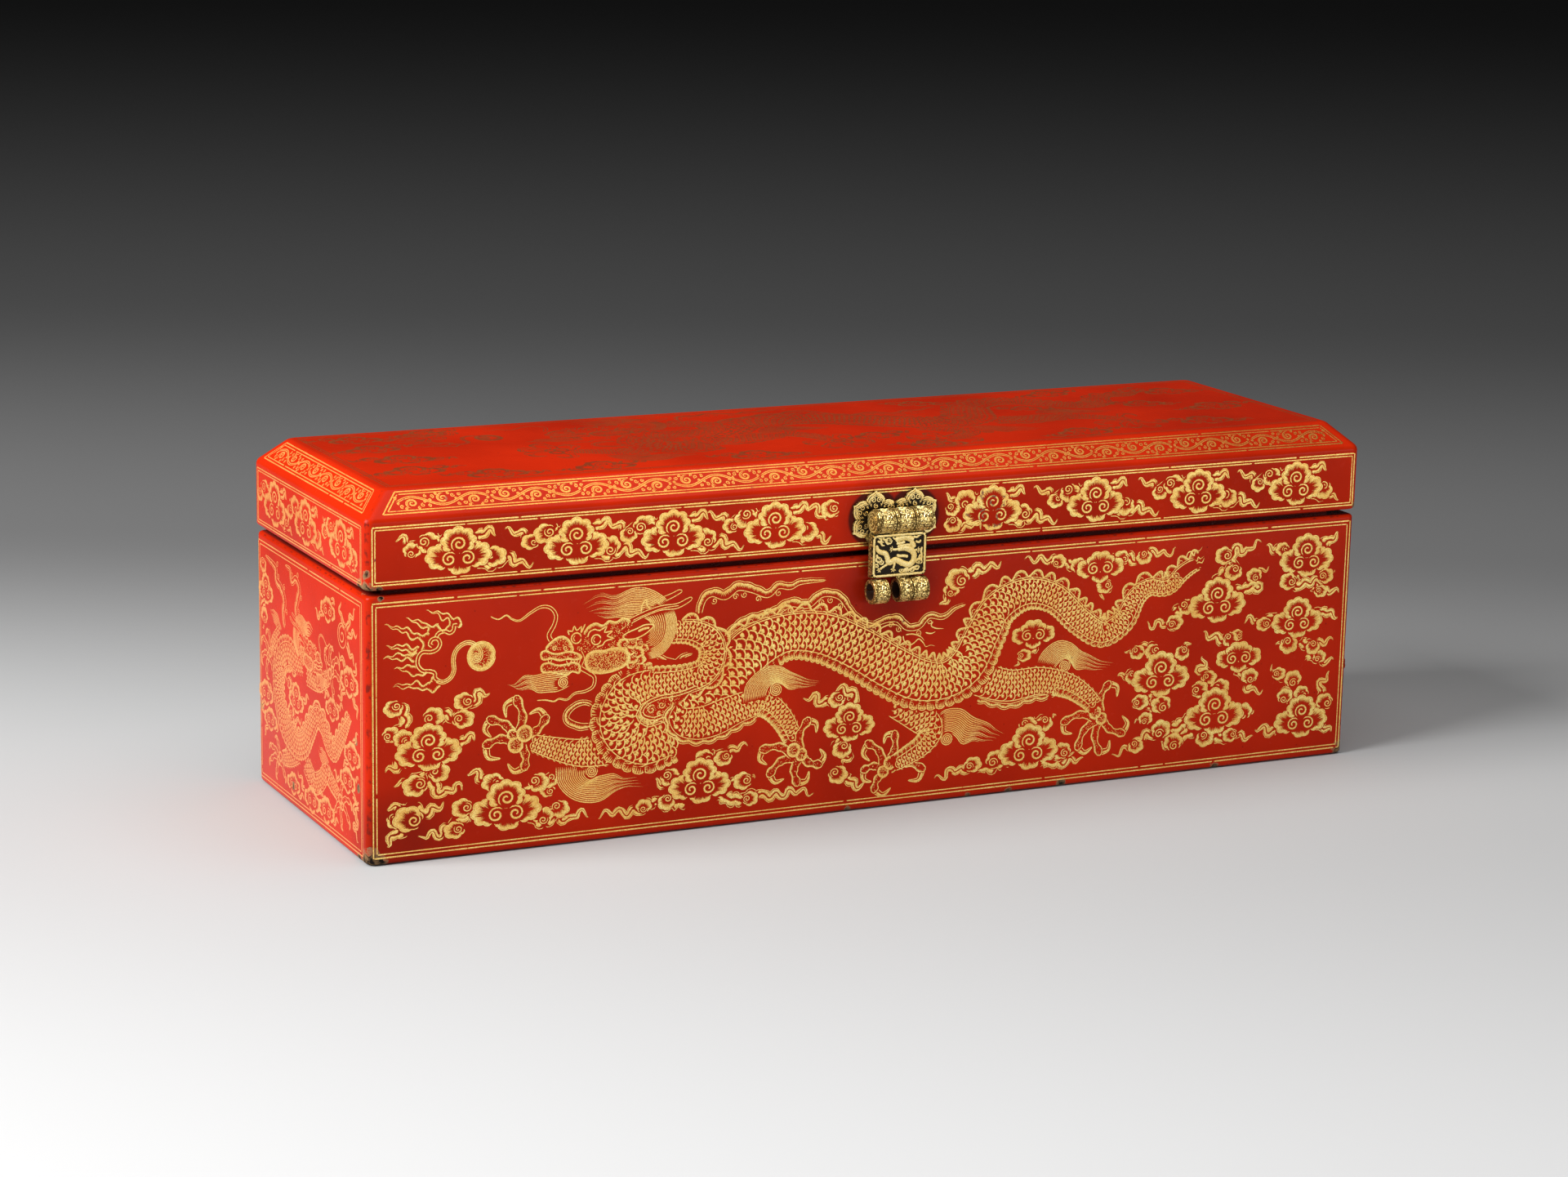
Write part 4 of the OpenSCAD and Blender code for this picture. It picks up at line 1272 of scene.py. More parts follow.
LOW_WHISKER = [(-123.4, 70), (-122.2, 67.4), (-123, 64.4), (-120, 62.2), (-117.6, 60.2), (-118, 57),
    (-121, 55.4), (-125, 55), (-128, 53), (-131, 53.6), (-133, 52.8), (-136, 53.6), (-139.5, 53.8)]
BEARD_OVER = [(-127, 63.4), (-133, 63.6), (-139, 63), (-144, 63), (-148, 60.6), (-151, 60.2)]
BEARD_UNDER = [(-127, 58), (-132, 56.4), (-138, 56.6), (-142, 58), (-146, 58.4), (-150, 60)]
MANE_IN = [(-99, 73.4), (-96.6, 74.2), (-95.4, 76.4), (-96.6, 79), (-100, 80.4), (-104, 80.8), (-108, 81),
    (-112, 81.4), (-117, 82.4)]
MANE_MID = [(-99.5, 68), (-94.5, 69), (-91, 72), (-90, 77), (-91.8, 82.4), (-97, 85), (-104, 85.6),
    (-110, 85), (-115, 85.2), (-120.5, 84)]
MANE_OUT = [(-98.5, 64.8), (-92, 66), (-87.4, 71), (-86, 78), (-89.4, 85.6), (-96, 90), (-103, 91.2),
    (-110, 89.4), (-116, 90.4), (-123, 87.4)]
FACE = [(-138, 72), (-134, 75), (-124, 77), (-116, 79), (-104, 80), (-95, 77), (-98, 73), (-99, 66),
    (-104, 62), (-124, 61), (-138, 63)]


def front_head(art):
    """Head in profile with both eyes, whiskers, beard, horns and mane."""
    for line in (UPPER_LIP, LOWER_LIP, NOSE, BROW, EAR, LASHES, CHEEK, FLARE, SPUR):
        art.draw(smooth(line, 0.7), 0.54)
    for patch, depth in ((CHEEK, 1.6), (UPPER_LIP, 0.8), (LOWER_LIP[::-1], 0.8), (NOSE, 1.2), (BROW, 1.2)):
        art.shade(smooth(patch, 0.6)[::-1], depth, None, 0.3)
    for patch in (UPPER_LIP, LOWER_LIP, NOSE, TEMPLE, JOWL):
        stipple(art, smooth(patch, 0.8), 0.62, 0.34)
    stipple(art, smooth(CHEEK, 0.8), 0.4, 0.38)
    art.draw(smooth([(-101, 75.4), (-98.6, 76.2), (-96.4, 76.4)], 0.6), 0.9)
    for x, y, r in ((-117, 73.8, 1.8), (-124.6, 75, 1.9)):
        art.draw(circle(x, y, r), 0.56)
        art.draw(circle(x, y, 0.55 * r)[4:11], 0.34)
    for k in range(4):
        x, y = -108.6 + 1.1 * k, 75.4 + 0.7 * k
        art.draw([(x, y), (x + 0.4, y + 0.8), (x + 1, y + 1.6)], 0.36)
    for x, y, r, hand in ((-132.8, 71.9, 1.1, 1), (-128.6, 71.8, 1.1, -1)):
        curl(art, x, y, r, hand)
    for x, y in LOCKS:
        puff(art, x, y, 1.8)
    for fang in FANGS:
        art.draw(smooth(fang, 0.5), 0.32)
    double_line(art, WHISKER, 1.5)
    double_line(art, LOW_WHISKER, 1.6)
    art.draw(smooth(NEAR_HORN, 0.7), 0.36)
    art.draw(smooth([(-103, 79.6), (-97, 81.6), (-91, 83.1), (-85, 83.5)], 0.7), 0.3)
    art.draw(smooth(FAR_HORN, 0.7), 0.34)
    art.cover(smooth(NEAR_HORN, 1))
    tuft(art, [BEARD_OVER, BEARD_UNDER], 11, (-129.4, 59.4, 2.2, 1, 0.5))
    art.cover(FACE)
    art.cover(BEARD_OVER + BEARD_UNDER[::-1])
    tuft(art, [MANE_IN, MANE_MID, MANE_OUT], 19, None, 36)
    art.cover(smooth(MANE_OUT + [(-119, 82), (-104, 81), (-97, 78), (-100, 68)], 1.5))


# %% [markdown]
# The body winds behind the head: the neck turns back, the chest comes forward in a round sweep, and the
# torso rises and falls to the tail. Each spine point has a third value, the half width of the body there.

# %% Dragon of the front
NECK = [(-88, 73.5, 3.5), (-80, 73, 4.2), (-73.5, 69.5, 4.8), (-72, 64, 5), (-75, 58.5, 5),
    (-83, 56.5, 5.2), (-95, 56, 6)]
CHEST = [(-83, 56.5, 5.2), (-94, 57, 6.4), (-104.5, 54.2, 8), (-110, 45.5, 8.8), (-107, 36.5, 9),
    (-98, 31.5, 8.6), (-88, 33.5, 8)]
TORSO = [(-100, 32, 7), (-93.5, 34, 8.3), (-78, 42, 10), (-66, 52, 11), (-55, 63, 10.5), (-42, 68, 8.5),
    (-28, 66.5, 9), (-14, 60, 9.2), (0, 51.5, 9.5), (12, 45.5, 9.3), (24, 44.5, 8.5), (34, 50, 9),
    (40.5, 62, 8.3), (46, 71, 7.2), (57, 75.8, 5.9), (69, 73, 5.3), (80, 63.5, 5), (90.5, 57.5, 4.7),
    (100, 62, 4.5), (105, 70.5, 3.8), (110.5, 74, 3.1), (116.5, 73.2, 2.9), (120.5, 74.2, 2.9),
    (124, 77.6, 3), (127.6, 80, 2.8), (131, 81.4, 2.4)]
BACK_LOOP = [(-78, 53.4), (-82, 52.2), (-87, 51.3), (-92, 51), (-97, 49.4), (-99.6, 46.4), (-98.6, 43.6),
    (-94.4, 42.2), (-90.4, 43)]
LOOP_CURLS = [(-95.4, 46.2, 1.9, 1), (-91.4, 47.6, 1.5, -1), (-87.6, 49.4, 1.2, 1), (-92.4, 44.4, 1, 1)]
TAIL_FLAMES = [
    [(126, 83.6), (127, 86.4), (128.6, 86.6), (129.6, 85), (130.4, 87), (132, 86.8), (133.4, 88.4)],
    [(130, 84), (131.2, 82.8), (131.6, 84.4), (132.6, 83.6), (134.2, 84.6)], [(129.4, 78.2), (131, 79.6)],
    [(130.6, 81.4), (132, 82.4), (133.4, 82), (134.4, 84)], [(130.4, 79.6), (132, 80.2), (133.2, 80.2)],
]
LOOSE_FLAMES = [
    [(-6, 66.4), (-4, 68), (-1.6, 69), (1, 69.2), (3.4, 68.4), (4.8, 66)],
    [(14.6, 65), (17, 64.4), (19, 65)],
    [(5.4, 64.6), (6, 62.4), (8, 60.8), (10, 61.4), (12, 62.8), (14, 61), (15, 59.6), (17, 60), (19, 59.4)],
    [(6.4, 64.8), (9, 64.9), (11, 64.4), (13, 63.4), (14.4, 61.8)],
    [(17.8, 69), (17, 67.4), (19, 66.2), (22.4, 65.8)],
    [(-6.8, 66.8), (-5, 65.8), (-1.6, 65.6), (0, 64.2), (2.4, 63.6), (3.8, 62.4), (1.8, 61.6)],
]


def near_foreleg(art):
    frill(art, [(-54, 40), (-60, 38), (-68, 34.6), (-77, 33.4), (-85, 36), (-88.5, 42), (-86, 47)], 1.8)
    outer = [(-59, 45), (-58, 52), (-52, 57), (-45, 57.8), (-40, 54.6), (-35, 52.6), (-28, 50)]
    inner = [(-50.5, 46.5), (-49.4, 50), (-46.4, 51.8), (-43.4, 50.6), (-40, 48.4), (-36, 48.8),
        (-30, 48.4)]
    tuft(art, [outer, inner], 15, (-46, 49, 2.7, 1, 0.5))
    art.cover(outer + inner[::-1])
    toes = [
        ((-51, 27), (-49, 21)), ((-48, 17.5), (-42, 15)), ((-37, 13), (-32, 17)), ((-28, 19), (-28, 25)),
        ((-33, 36), (-29.5, 31)),
    ]
    paw(art, -37, 24, 3.4, toes, [(-38.5, 25.5, 2.6), (-35.4, 23.5, 2.4)])
    path = [(-84, 40, 5.5), (-75, 39, 6.4), (-65, 42, 6), (-55, 44.5, 5.2), (-49, 43, 4.6), (-43, 37, 4.2),
        (-38, 28, 3.6)]
    leg(art, path, 0.6)


def far_foreleg(art):
    leg(art, [(-110, 33.5, 6), (-122, 33, 5), (-132, 35.5, 4), (-141, 38.6, 2.8)], 1.0)
    toes = [
        ((-158.5, 39.5), (-153, 34)), ((-157, 48.5), (-156.5, 42)), ((-147, 55), (-151, 48.5)),
        ((-136, 47), (-142.5, 49)), ((-144, 30), (-150.5, 32)),
    ]
    paw(art, -146, 40, 3.4, toes, [(-144, 42.2, 3), (-147.4, 38.4, 2.9), (-148.6, 42.2, 2)])
    outer = [(-132, 29), (-131, 22), (-124, 15.4), (-115, 14.6), (-109, 17.4), (-104, 19), (-98, 17.6)]
    inner = [(-121, 28), (-121.6, 25), (-119, 22.6), (-115.6, 23.6), (-111, 24), (-106, 22.4), (-101, 22)]
    tuft(art, [outer, inner], 15, (-118.4, 25.8, 2.7, -1, 3.6))


def near_hind_leg(art):
    path = [(4, 40, 6.5), (12, 34, 6), (18, 28, 5), (15, 22.5, 4.2), (8, 18.5, 3.6), (2.5, 16, 3)]
    leg(art, path, 0.5)
    toes = [
        ((-8, 25), (-7, 18)), ((3, 27.5), (-1.5, 24)), ((-9.5, 15), (-6, 10)), ((-5, 7), (2, 7)),
        ((15, 13), (9, 9)),
    ]
    paw(art, 0, 15, 3.2, toes, [(1.4, 16.6, 2.6), (-1.4, 13.6, 2.3)])
    outer = [(19, 31), (24, 34.6), (30, 34.4), (35, 31.4), (40, 28.6), (44, 26.6), (49.5, 22.4)]
    inner = [(20, 24), (23, 25.4), (26, 25.8), (29, 23.6), (32, 20.8), (37, 21.4), (44, 20)]
    tuft(art, [outer, inner], 15, (25, 23.4, 2.6, 1, 2.4))


def far_hind_leg(art):
    path = [(36, 46, 6.5), (50, 41.5, 6), (64, 42, 5.2), (76, 39, 4.6), (84, 34, 3.9), (89, 29, 3.2)]
    frill(art, [(68, 36.4), (60, 36), (52, 34.4), (45, 35.6), (38, 38)], 1.6)
    leg(art, path, 0.62)
    toes = [
        ((75, 25), (79, 20)), ((81.5, 14.5), (88, 14)), ((91, 11.5), (95.5, 16)), ((101, 18), (100.5, 25)),
        ((94, 38), (98, 32.5)),
    ]
    paw(art, 90, 26, 3.2, toes, [(88.6, 27.4, 2.6), (91.4, 24.8, 2.4)])
    outer = [(62, 45), (64, 52), (70, 56.4), (77, 55.6), (82, 51.6), (88, 48.6), (96.5, 45.6)]
    inner = [(70, 45), (71, 47.6), (74, 49.4), (77, 48), (80, 45), (85, 44.6), (91, 43)]
    tuft(art, [outer, inner], 15, (74.4, 46.8, 2.6, -1, 1.0))


SCARVES = [
    (
        [(-77, 80), (-75.5, 85), (-72, 87), (-67, 85.6), (-62, 88.4), (-56, 87), (-50, 84.6), (-46, 87.4),
            (-41, 86.6), (-37, 88), (-27, 88)],
        3.4,
        True,
    ),
    (
        [(-66, 71), (-59, 75.5), (-49, 77), (-41, 80.6), (-34, 79.5), (-28, 83), (-21, 81.4), (-16, 75),
            (-10, 70.6), (-4, 70)],
        3.6,
        True,
    ),
    (
        [(-8, 69), (-2, 71), (3, 71), (7, 67.5), (12, 67.5), (16, 71), (22, 70), (27, 73), (31, 74)], 2.6,
        True,
    ),
    ([(-116, 43), (-123, 43), (-128, 46), (-126, 49.6), (-121, 51), (-116, 48)], 2.2, False),
    ([(-94, 66), (-90, 63.5), (-86, 62.6), (-83, 64.6), (-79, 65.4)], 1.8, False),
]


def front_dragon(art):
    """The long dragon of the front, from head to tail, drawn from the nearest part back."""
    front_head(art)
    near_foreleg(art)
    loop = smooth(BACK_LOOP, 0.7)
    art.draw(loop, 0.54)
    art.draw(beside(loop, 1.1), 0.42)
    for x, y, r, hand in LOOP_CURLS:
        curl(art, x, y, r, hand, 0.5, 0.42)
    stipple(art, loop, 0.8, 0.3)
    art.cover(loop)
    for spine, first, tall, hide in ((NECK, 0.08, 2.2, 2.2), (CHEST, 0.15, 2.0, 0.4)):
        part = Body(spine)
        scales(art, part, -0.83, 0.5)
        belly(art, part, 0.6)
        crest(art, part, first, 1.0, tall)
        art.cover(part.outline(hide))
    torso = Body(TORSO)
    scales(art, torso, -0.85, 0.5, 0.0, 0.97)
    belly(art, torso, 0.62, 0.09)
    crest(art, torso, 0.08)
    art.cover(torso.outline(0.4))
    for flame in TAIL_FLAMES + LOOSE_FLAMES:
        art.draw(smooth(flame, 0.6), 0.5, tail=0.5)
    far_foreleg(art)
    near_hind_leg(art)
    far_hind_leg(art)
    for guide, thick, curls in SCARVES:
        ribbon(art, guide, thick, curls)
    art.covers.clear()


# %% [markdown]
# The pearl is a ball, gold at its rim, with a spiral that leaves it as a triple line. The line ends in a
# winding stem, and flames lick from it to the left. A flame is drawn by its lower and its upper edge.

# %% Flaming pearl
PEARL_AT = (-160.3, 71.7)
PEARL_TAIL = [(-162.4, 71.2), (-161.7, 71.8), (-162.4, 72.3), (-163.2, 71.4), (-162.4, 70.2),
    (-160.9, 70.8), (-160.5, 72.8), (-161.7, 75.2), (-164.5, 76.9), (-167.2, 76.6), (-169.7, 74.6),
    (-170.7, 71.5), (-170.5, 67.4), (-172, 64.8), (-174.6, 63.7), (-177, 64.6)]
STEMS = [
    [(-175.6, 63.9), (-177.4, 65.4), (-177.6, 67.2), (-179.4, 68), (-182, 68.4), (-183.8, 70.6),
        (-183.6, 73.4), (-182, 75), (-179, 74.8), (-176.6, 75.6), (-175.6, 77.6), (-176.6, 79.4),
        (-178.6, 79.2), (-179.4, 77.6), (-178.2, 76.8)],
    [(-177.2, 79.6), (-176.2, 81.2), (-174, 81.8), (-172, 81), (-170.6, 82), (-170.4, 83.6), (-169.2, 83.4)],
]
FLAMES = [
    (
        [(-175.6, 62.2), (-178, 60.6), (-181, 61.6), (-184, 62), (-186, 63), (-188.4, 62.7), (-193, 64)],
        [(-178.6, 66.4), (-179.4, 64), (-182, 63.4), (-184.6, 65), (-187, 63.8), (-189.6, 64.5), (-193, 64)],
    ),
    (
        [(-180.4, 67.2), (-184.6, 66.8), (-187.2, 68), (-189.6, 69.4), (-192.6, 70.2)],
        [(-184.6, 70.2), (-185.8, 70.8), (-188.4, 70.6), (-190.6, 70.2), (-192.6, 70.2)],
    ),
    (
        [(-185.4, 72), (-187.6, 73.2), (-190.4, 72.8), (-193, 73.8), (-196.6, 74.2)],
        [(-184.4, 75), (-188, 74.4), (-190, 75.4), (-193, 74.8), (-196.6, 74.2)],
    ),
    (
        [(-184, 75.4), (-186.6, 75), (-188.4, 76.4), (-191, 76.8), (-195.4, 78.2)],
        [(-183.4, 77), (-186, 76.8), (-188, 78.2), (-191.4, 78.2), (-195.4, 78.2)],
    ),
    (
        [(-182.6, 76), (-181.8, 78.2), (-183.4, 79.8), (-186.6, 80.2), (-188, 82.4), (-190.4, 83.2),
            (-196, 86)],
        [(-179.6, 81.4), (-182.6, 81.4), (-185, 82), (-187, 83.8), (-190.6, 84.6), (-196, 86)],
    ),
    (
        [(-180.4, 81.6), (-180, 83.2), (-183, 84.2), (-185, 86), (-188.2, 87.6)],
        [(-176.4, 84.4), (-179.6, 84.2), (-182, 86), (-184.6, 86.6), (-188.2, 87.6)],
    ),
    (
        [(-177, 84.4), (-174.6, 82.4), (-172.2, 83.6), (-172.6, 86), (-175, 86), (-176.4, 88),
            (-180.8, 89.6)],
        [(-168.6, 82.2), (-167.6, 84), (-168.6, 85.8), (-170.6, 86.2), (-172.2, 87.4), (-175.2, 88.6),
            (-180.8, 89.6)],
    ),
]


def pearl(art):
    x, y = PEARL_AT
    rim = circle(x, y, 5.2, 28)
    tail = smooth(PEARL_TAIL, 0.6)
    for side, width in ((-0.65, 0.4), (0, 0.5), (0.65, 0.4)):
        art.draw(beside(tail, side), width)
    art.draw(rim, 0.5)
    art.draw(circle(x, y, 4.6, 28), 0.9)
    art.shade(rim, 2.4, (x, y), 0.3)
    stipple(art, rim, 0.62, 0.34)
    for guide in STEMS:
        stem = smooth(guide, 0.6)
        for side in (-0.55, 0.55):
            art.draw(beside(stem, side), 0.46)
    for low, high in FLAMES:
        for guide, turn in ((low, -1), (high, 1)):
            edge = [(px, py + 0.4 * math.sin(1.7 * px)) for px, py in smooth(guide, 0.6)]
            art.draw(edge, 0.46, tail=0.5)
            art.shade(edge[::turn], lambda t: 0.5 + 0.4 * turn * (1 - 2 * t), None, 0.32)
    art.covers.clear()


# %% [markdown]
# Two gold lines frame each panel. They are drawn in lengths of a few centimetres that vary in width and
# leave small gaps, as lines do where the leaf has rubbed off.

# %% Panel lines


def inset_corners(corners, gap):
    """Corners of a panel drawn in by a gap; the corners run anticlockwise."""
    out = []
    for before, here, after in zip(corners[-1:] + corners[:-1], corners, corners[1:] + corners[:1]):
        a = (Vector(here) - Vector(before)).normalized()
        b = (Vector(after) - Vector(here)).normalized()
        inward = Vector((-a.y - b.y, a.x + b.x))
        out.append(tuple(Vector(here) + inward * gap / (1 + a.dot(b))))
    return out


def panel_lines(art, corners, gap=1.25):
    """Two gold lines round a panel, rubbed through here and there."""
    for inset, width in ((0, 0.6), (gap, 0.5)):
        loop = inset_corners(corners, inset)
        for (ax, ay), (bx, by) in zip(loop, loop[1:] + loop[:1]):
            length = math.dist((ax, ay), (bx, by))
            walked = 0.0
            while walked < length:
                stop = min(length, walked + chance.uniform(9, 38))
                shares = (0, 0.02, 0.2, 0.4, 0.6, 0.8, 0.98, 1)
                ways = [(walked + (stop - walked) * share) / length for share in shares]
                run = [(ax + (bx - ax) * t, ay + (by - ay) * t) for t in ways]
                art.draw(run, [width * chance.uniform(0.75, 1.05) for t in ways])
                walked = stop + (chance.uniform(0.3, 1.2) if chance.random() < 0.2 else -0.6)


def box_corners(left, low, right, high):
    return [(left, low), (right, low), (right, high), (left, high)]


# %% [markdown]
# Dragon and clouds of the front are two drawings, because no cloud hides any part of the dragon. The pieces
# that come of them are kept in a list, from which the rear is copied later.

# %% Gold of the front
FRONT_FACE = ((1, 0, 0), (0, 0, 1), (0, base_low.y, 0))

dragon = Pattern()
front_dragon(dragon)
pearl(dragon)
front_clouds = Pattern()
for parts in FRONT_CLOUDS:
    cloud(front_clouds, **parts)
panel_lines(front_clouds, box_corners(-200.3, 2.6, 200.3, 93.5), 1.3)
gold_of_front = lay(dragon, "front_dragon", "base", *FRONT_FACE, LACQUER_GOLD)
gold_of_front += lay(front_clouds, "front_clouds", "base", *FRONT_FACE, LACQUER_GOLD)

# %% [markdown]
# ## The lid
#
# A row of clouds runs round the upright sides of the lid. Every cloud has a tail that trails high on its
# left and another low on its right, so that neighbours pass over and under each other.
#
# On the bevel runs a classic scroll: a waving stem with a spiral in each hollow, and small leaves that
# fill what is left. It comes from a formula, and its panel has slanted ends that follow the hips.

# %% Lid clouds and scroll


def lid_cloud(art, x, before=27, after=28):
    """One cloud of the row: before and after are the lengths of its tails."""
    y = 110.3
    high = [(x - 6, y + 3.2), (x - 11, y + 3.6), (x - 0.65 * before, y + 2.2), (x - 0.85 * before, y + 5)]
    low = [(x + 7, y - 3.4), (x + 12, y - 5.8), (x + 0.65 * after, y - 4), (x + 0.85 * after, y - 6.8)]
    tails = [high + [(x - before, y + 5.6)], low + [(x + after, y - 6.8)],
        [(x + 5, y + 3.4), (x + 9, y + 5.6), (x + 14, y + 5)]]
    puffs = [(x - 11.4, y + 3.4, 2.9), (x - 17, y + 0.8, 2.2), (x + 12.8, y - 3.2, 2.9)]
    cloud(art, (x, y, 1.05), None, puffs, tails, 5.6)


def scroll(art, left, right, middle, tall):
    """Classic scroll between two ends, along a band with a middle height and a width."""
    count = round((right - left) / 11.6)
    pitch = (right - left) / count
    wave = 0.34 * tall
    for offset in (-0.32, 0.32):
        stem = []
        for k in range(count * 8 + 1):
            stem.append((left + pitch * k / 8, middle + wave * math.sin(math.pi * k / 8) + offset))
        for k in range(0, count * 8, 24):
            art.draw(stem[k : k + 25], 0.42)
    for k in range(count):
        up = 1 if k % 2 == 0 else -1
        x, y = left + pitch * (k + 0.5), middle - up * 0.12 * tall
        for lead, size in ((0.0, 0.37), (0.5, 0.27)):
            winding = []
            for i in range(20):
                t = i / 19
                angle = up * (math.pi / 2 - lead - t * 1.6 * TAU) + math.pi * 0.9
                reach = tall * size * (1 - 0.88 * t)
                winding.append((x + 1.2 * reach * math.cos(angle), y + reach * math.sin(angle)))
            art.draw(winding, 0.44)
        for side in (-1, 1):
            for dx, dy, r in ((0.33, -0.3, 0.15), (0.2, -0.47, 0.11), (0.47, 0.34, 0.13), (0.42, -0.06, 0.1)):
                hand, start = side * up, side + up * k
                curl(art, x + side * dx * pitch, middle + up * dy * tall, r * tall, hand, start, 0.4)


# %% [markdown]
# The row on the front leaves its middle to the metalwork, with a loose tail on each side of it. The row of
# the left end has three clouds.

# %% Gold of the lid sides
LID_FRONT = ((1, 0, 0), (0, 0, 1), (0, lid_low.y, 0))
LID_LEFT = ((0, -1, 0), (0, 0, 1), (lid_low.x, 0, 0))

lid_front = Pattern()
for x in (-125, -88, 85, 130):
    lid_cloud(lid_front, x)
lid_cloud(lid_front, -169, 23, 28)
lid_cloud(lid_front, -48, 27, 23)
lid_cloud(lid_front, 41, 20, 28)
lid_cloud(lid_front, 174, 27, 20)
cloud(lid_front, None, None, [(-25.5, 114.6, 2.6)], [[(-24, 114), (-28, 112), (-32, 115.4), (-37, 116.4)]], 4)
cloud(lid_front, None, None, [(24.5, 105.4, 2.4)], [[(23, 105), (28, 103.4), (33, 105), (37, 103)]], 3.4)
panel_lines(lid_front, box_corners(-200.4, 99.9, 200.4, 120.2), 1.0)
gold_of_front += lay(lid_front, "lid_front_clouds", "lid", *LID_FRONT, LACQUER_GOLD)

lid_left = Pattern()
lid_cloud(lid_left, -37, 16, 20)
lid_cloud(lid_left, -2, 18, 20)
lid_cloud(lid_left, 36, 19, 17)
panel_lines(lid_left, box_corners(-57, 99.9, 57, 120.2), 1.0)
gold_of_left = lay(lid_left, "lid_left_clouds", "lid", *LID_LEFT, END_GOLD)

# %% [markdown]
# A bevel is a sloping strip with slanted ends. It is drawn on a flat sheet whose origin is the middle of
# the slope, and then laid along the slope.

# %% Gold of the lid bevels
SLOPE = math.hypot(BEVEL_RUN, BEVEL_RISE)
BAND_LOW, BAND_HIGH = -4.2, 4.9
BAND_MIDDLE, BAND_WIDTH = 0.4, 5.8
HIP_GAP = 5.5


def bevel_band(length):
    """Scroll and lines of one bevel; the sheet's origin is the middle of the slope."""
    art = Pattern()

    def end_at(y):
        return length / 2 - BEVEL_RUN * (y / SLOPE + 0.5) - HIP_GAP

    low, high = end_at(BAND_LOW), end_at(BAND_HIGH)
    panel_lines(art, [(-low, BAND_LOW), (low, BAND_LOW), (high, BAND_HIGH), (-high, BAND_HIGH)], 1.1)
    reach = end_at(BAND_MIDDLE) - 2.5
    scroll(art, -reach, reach, BAND_MIDDLE, BAND_WIDTH)
    return art


bevel_out = BEVEL_RUN / 2
bevel_mid = lid_high.z - BEVEL_RISE / 2
front_bevel = ((1, 0, 0), (0, BEVEL_RUN, BEVEL_RISE), (0, lid_low.y + bevel_out, bevel_mid))
left_bevel = ((0, -1, 0), (BEVEL_RUN, 0, BEVEL_RISE), (lid_low.x + bevel_out, 0, bevel_mid))
gold_of_front += lay(bevel_band(LID_L), "lid_front_scroll", "lid", *front_bevel, BEVEL_GOLD)
gold_of_left += lay(bevel_band(LID_D), "lid_left_scroll", "lid", *left_bevel, END_GOLD)

# %% [markdown]
# ## The short ends
#
# The dragon of a short end coils once and climbs to the right. Its head is the front one again, smaller
# and turned over. On this sheet x runs from the rear to the front, seen from outside.

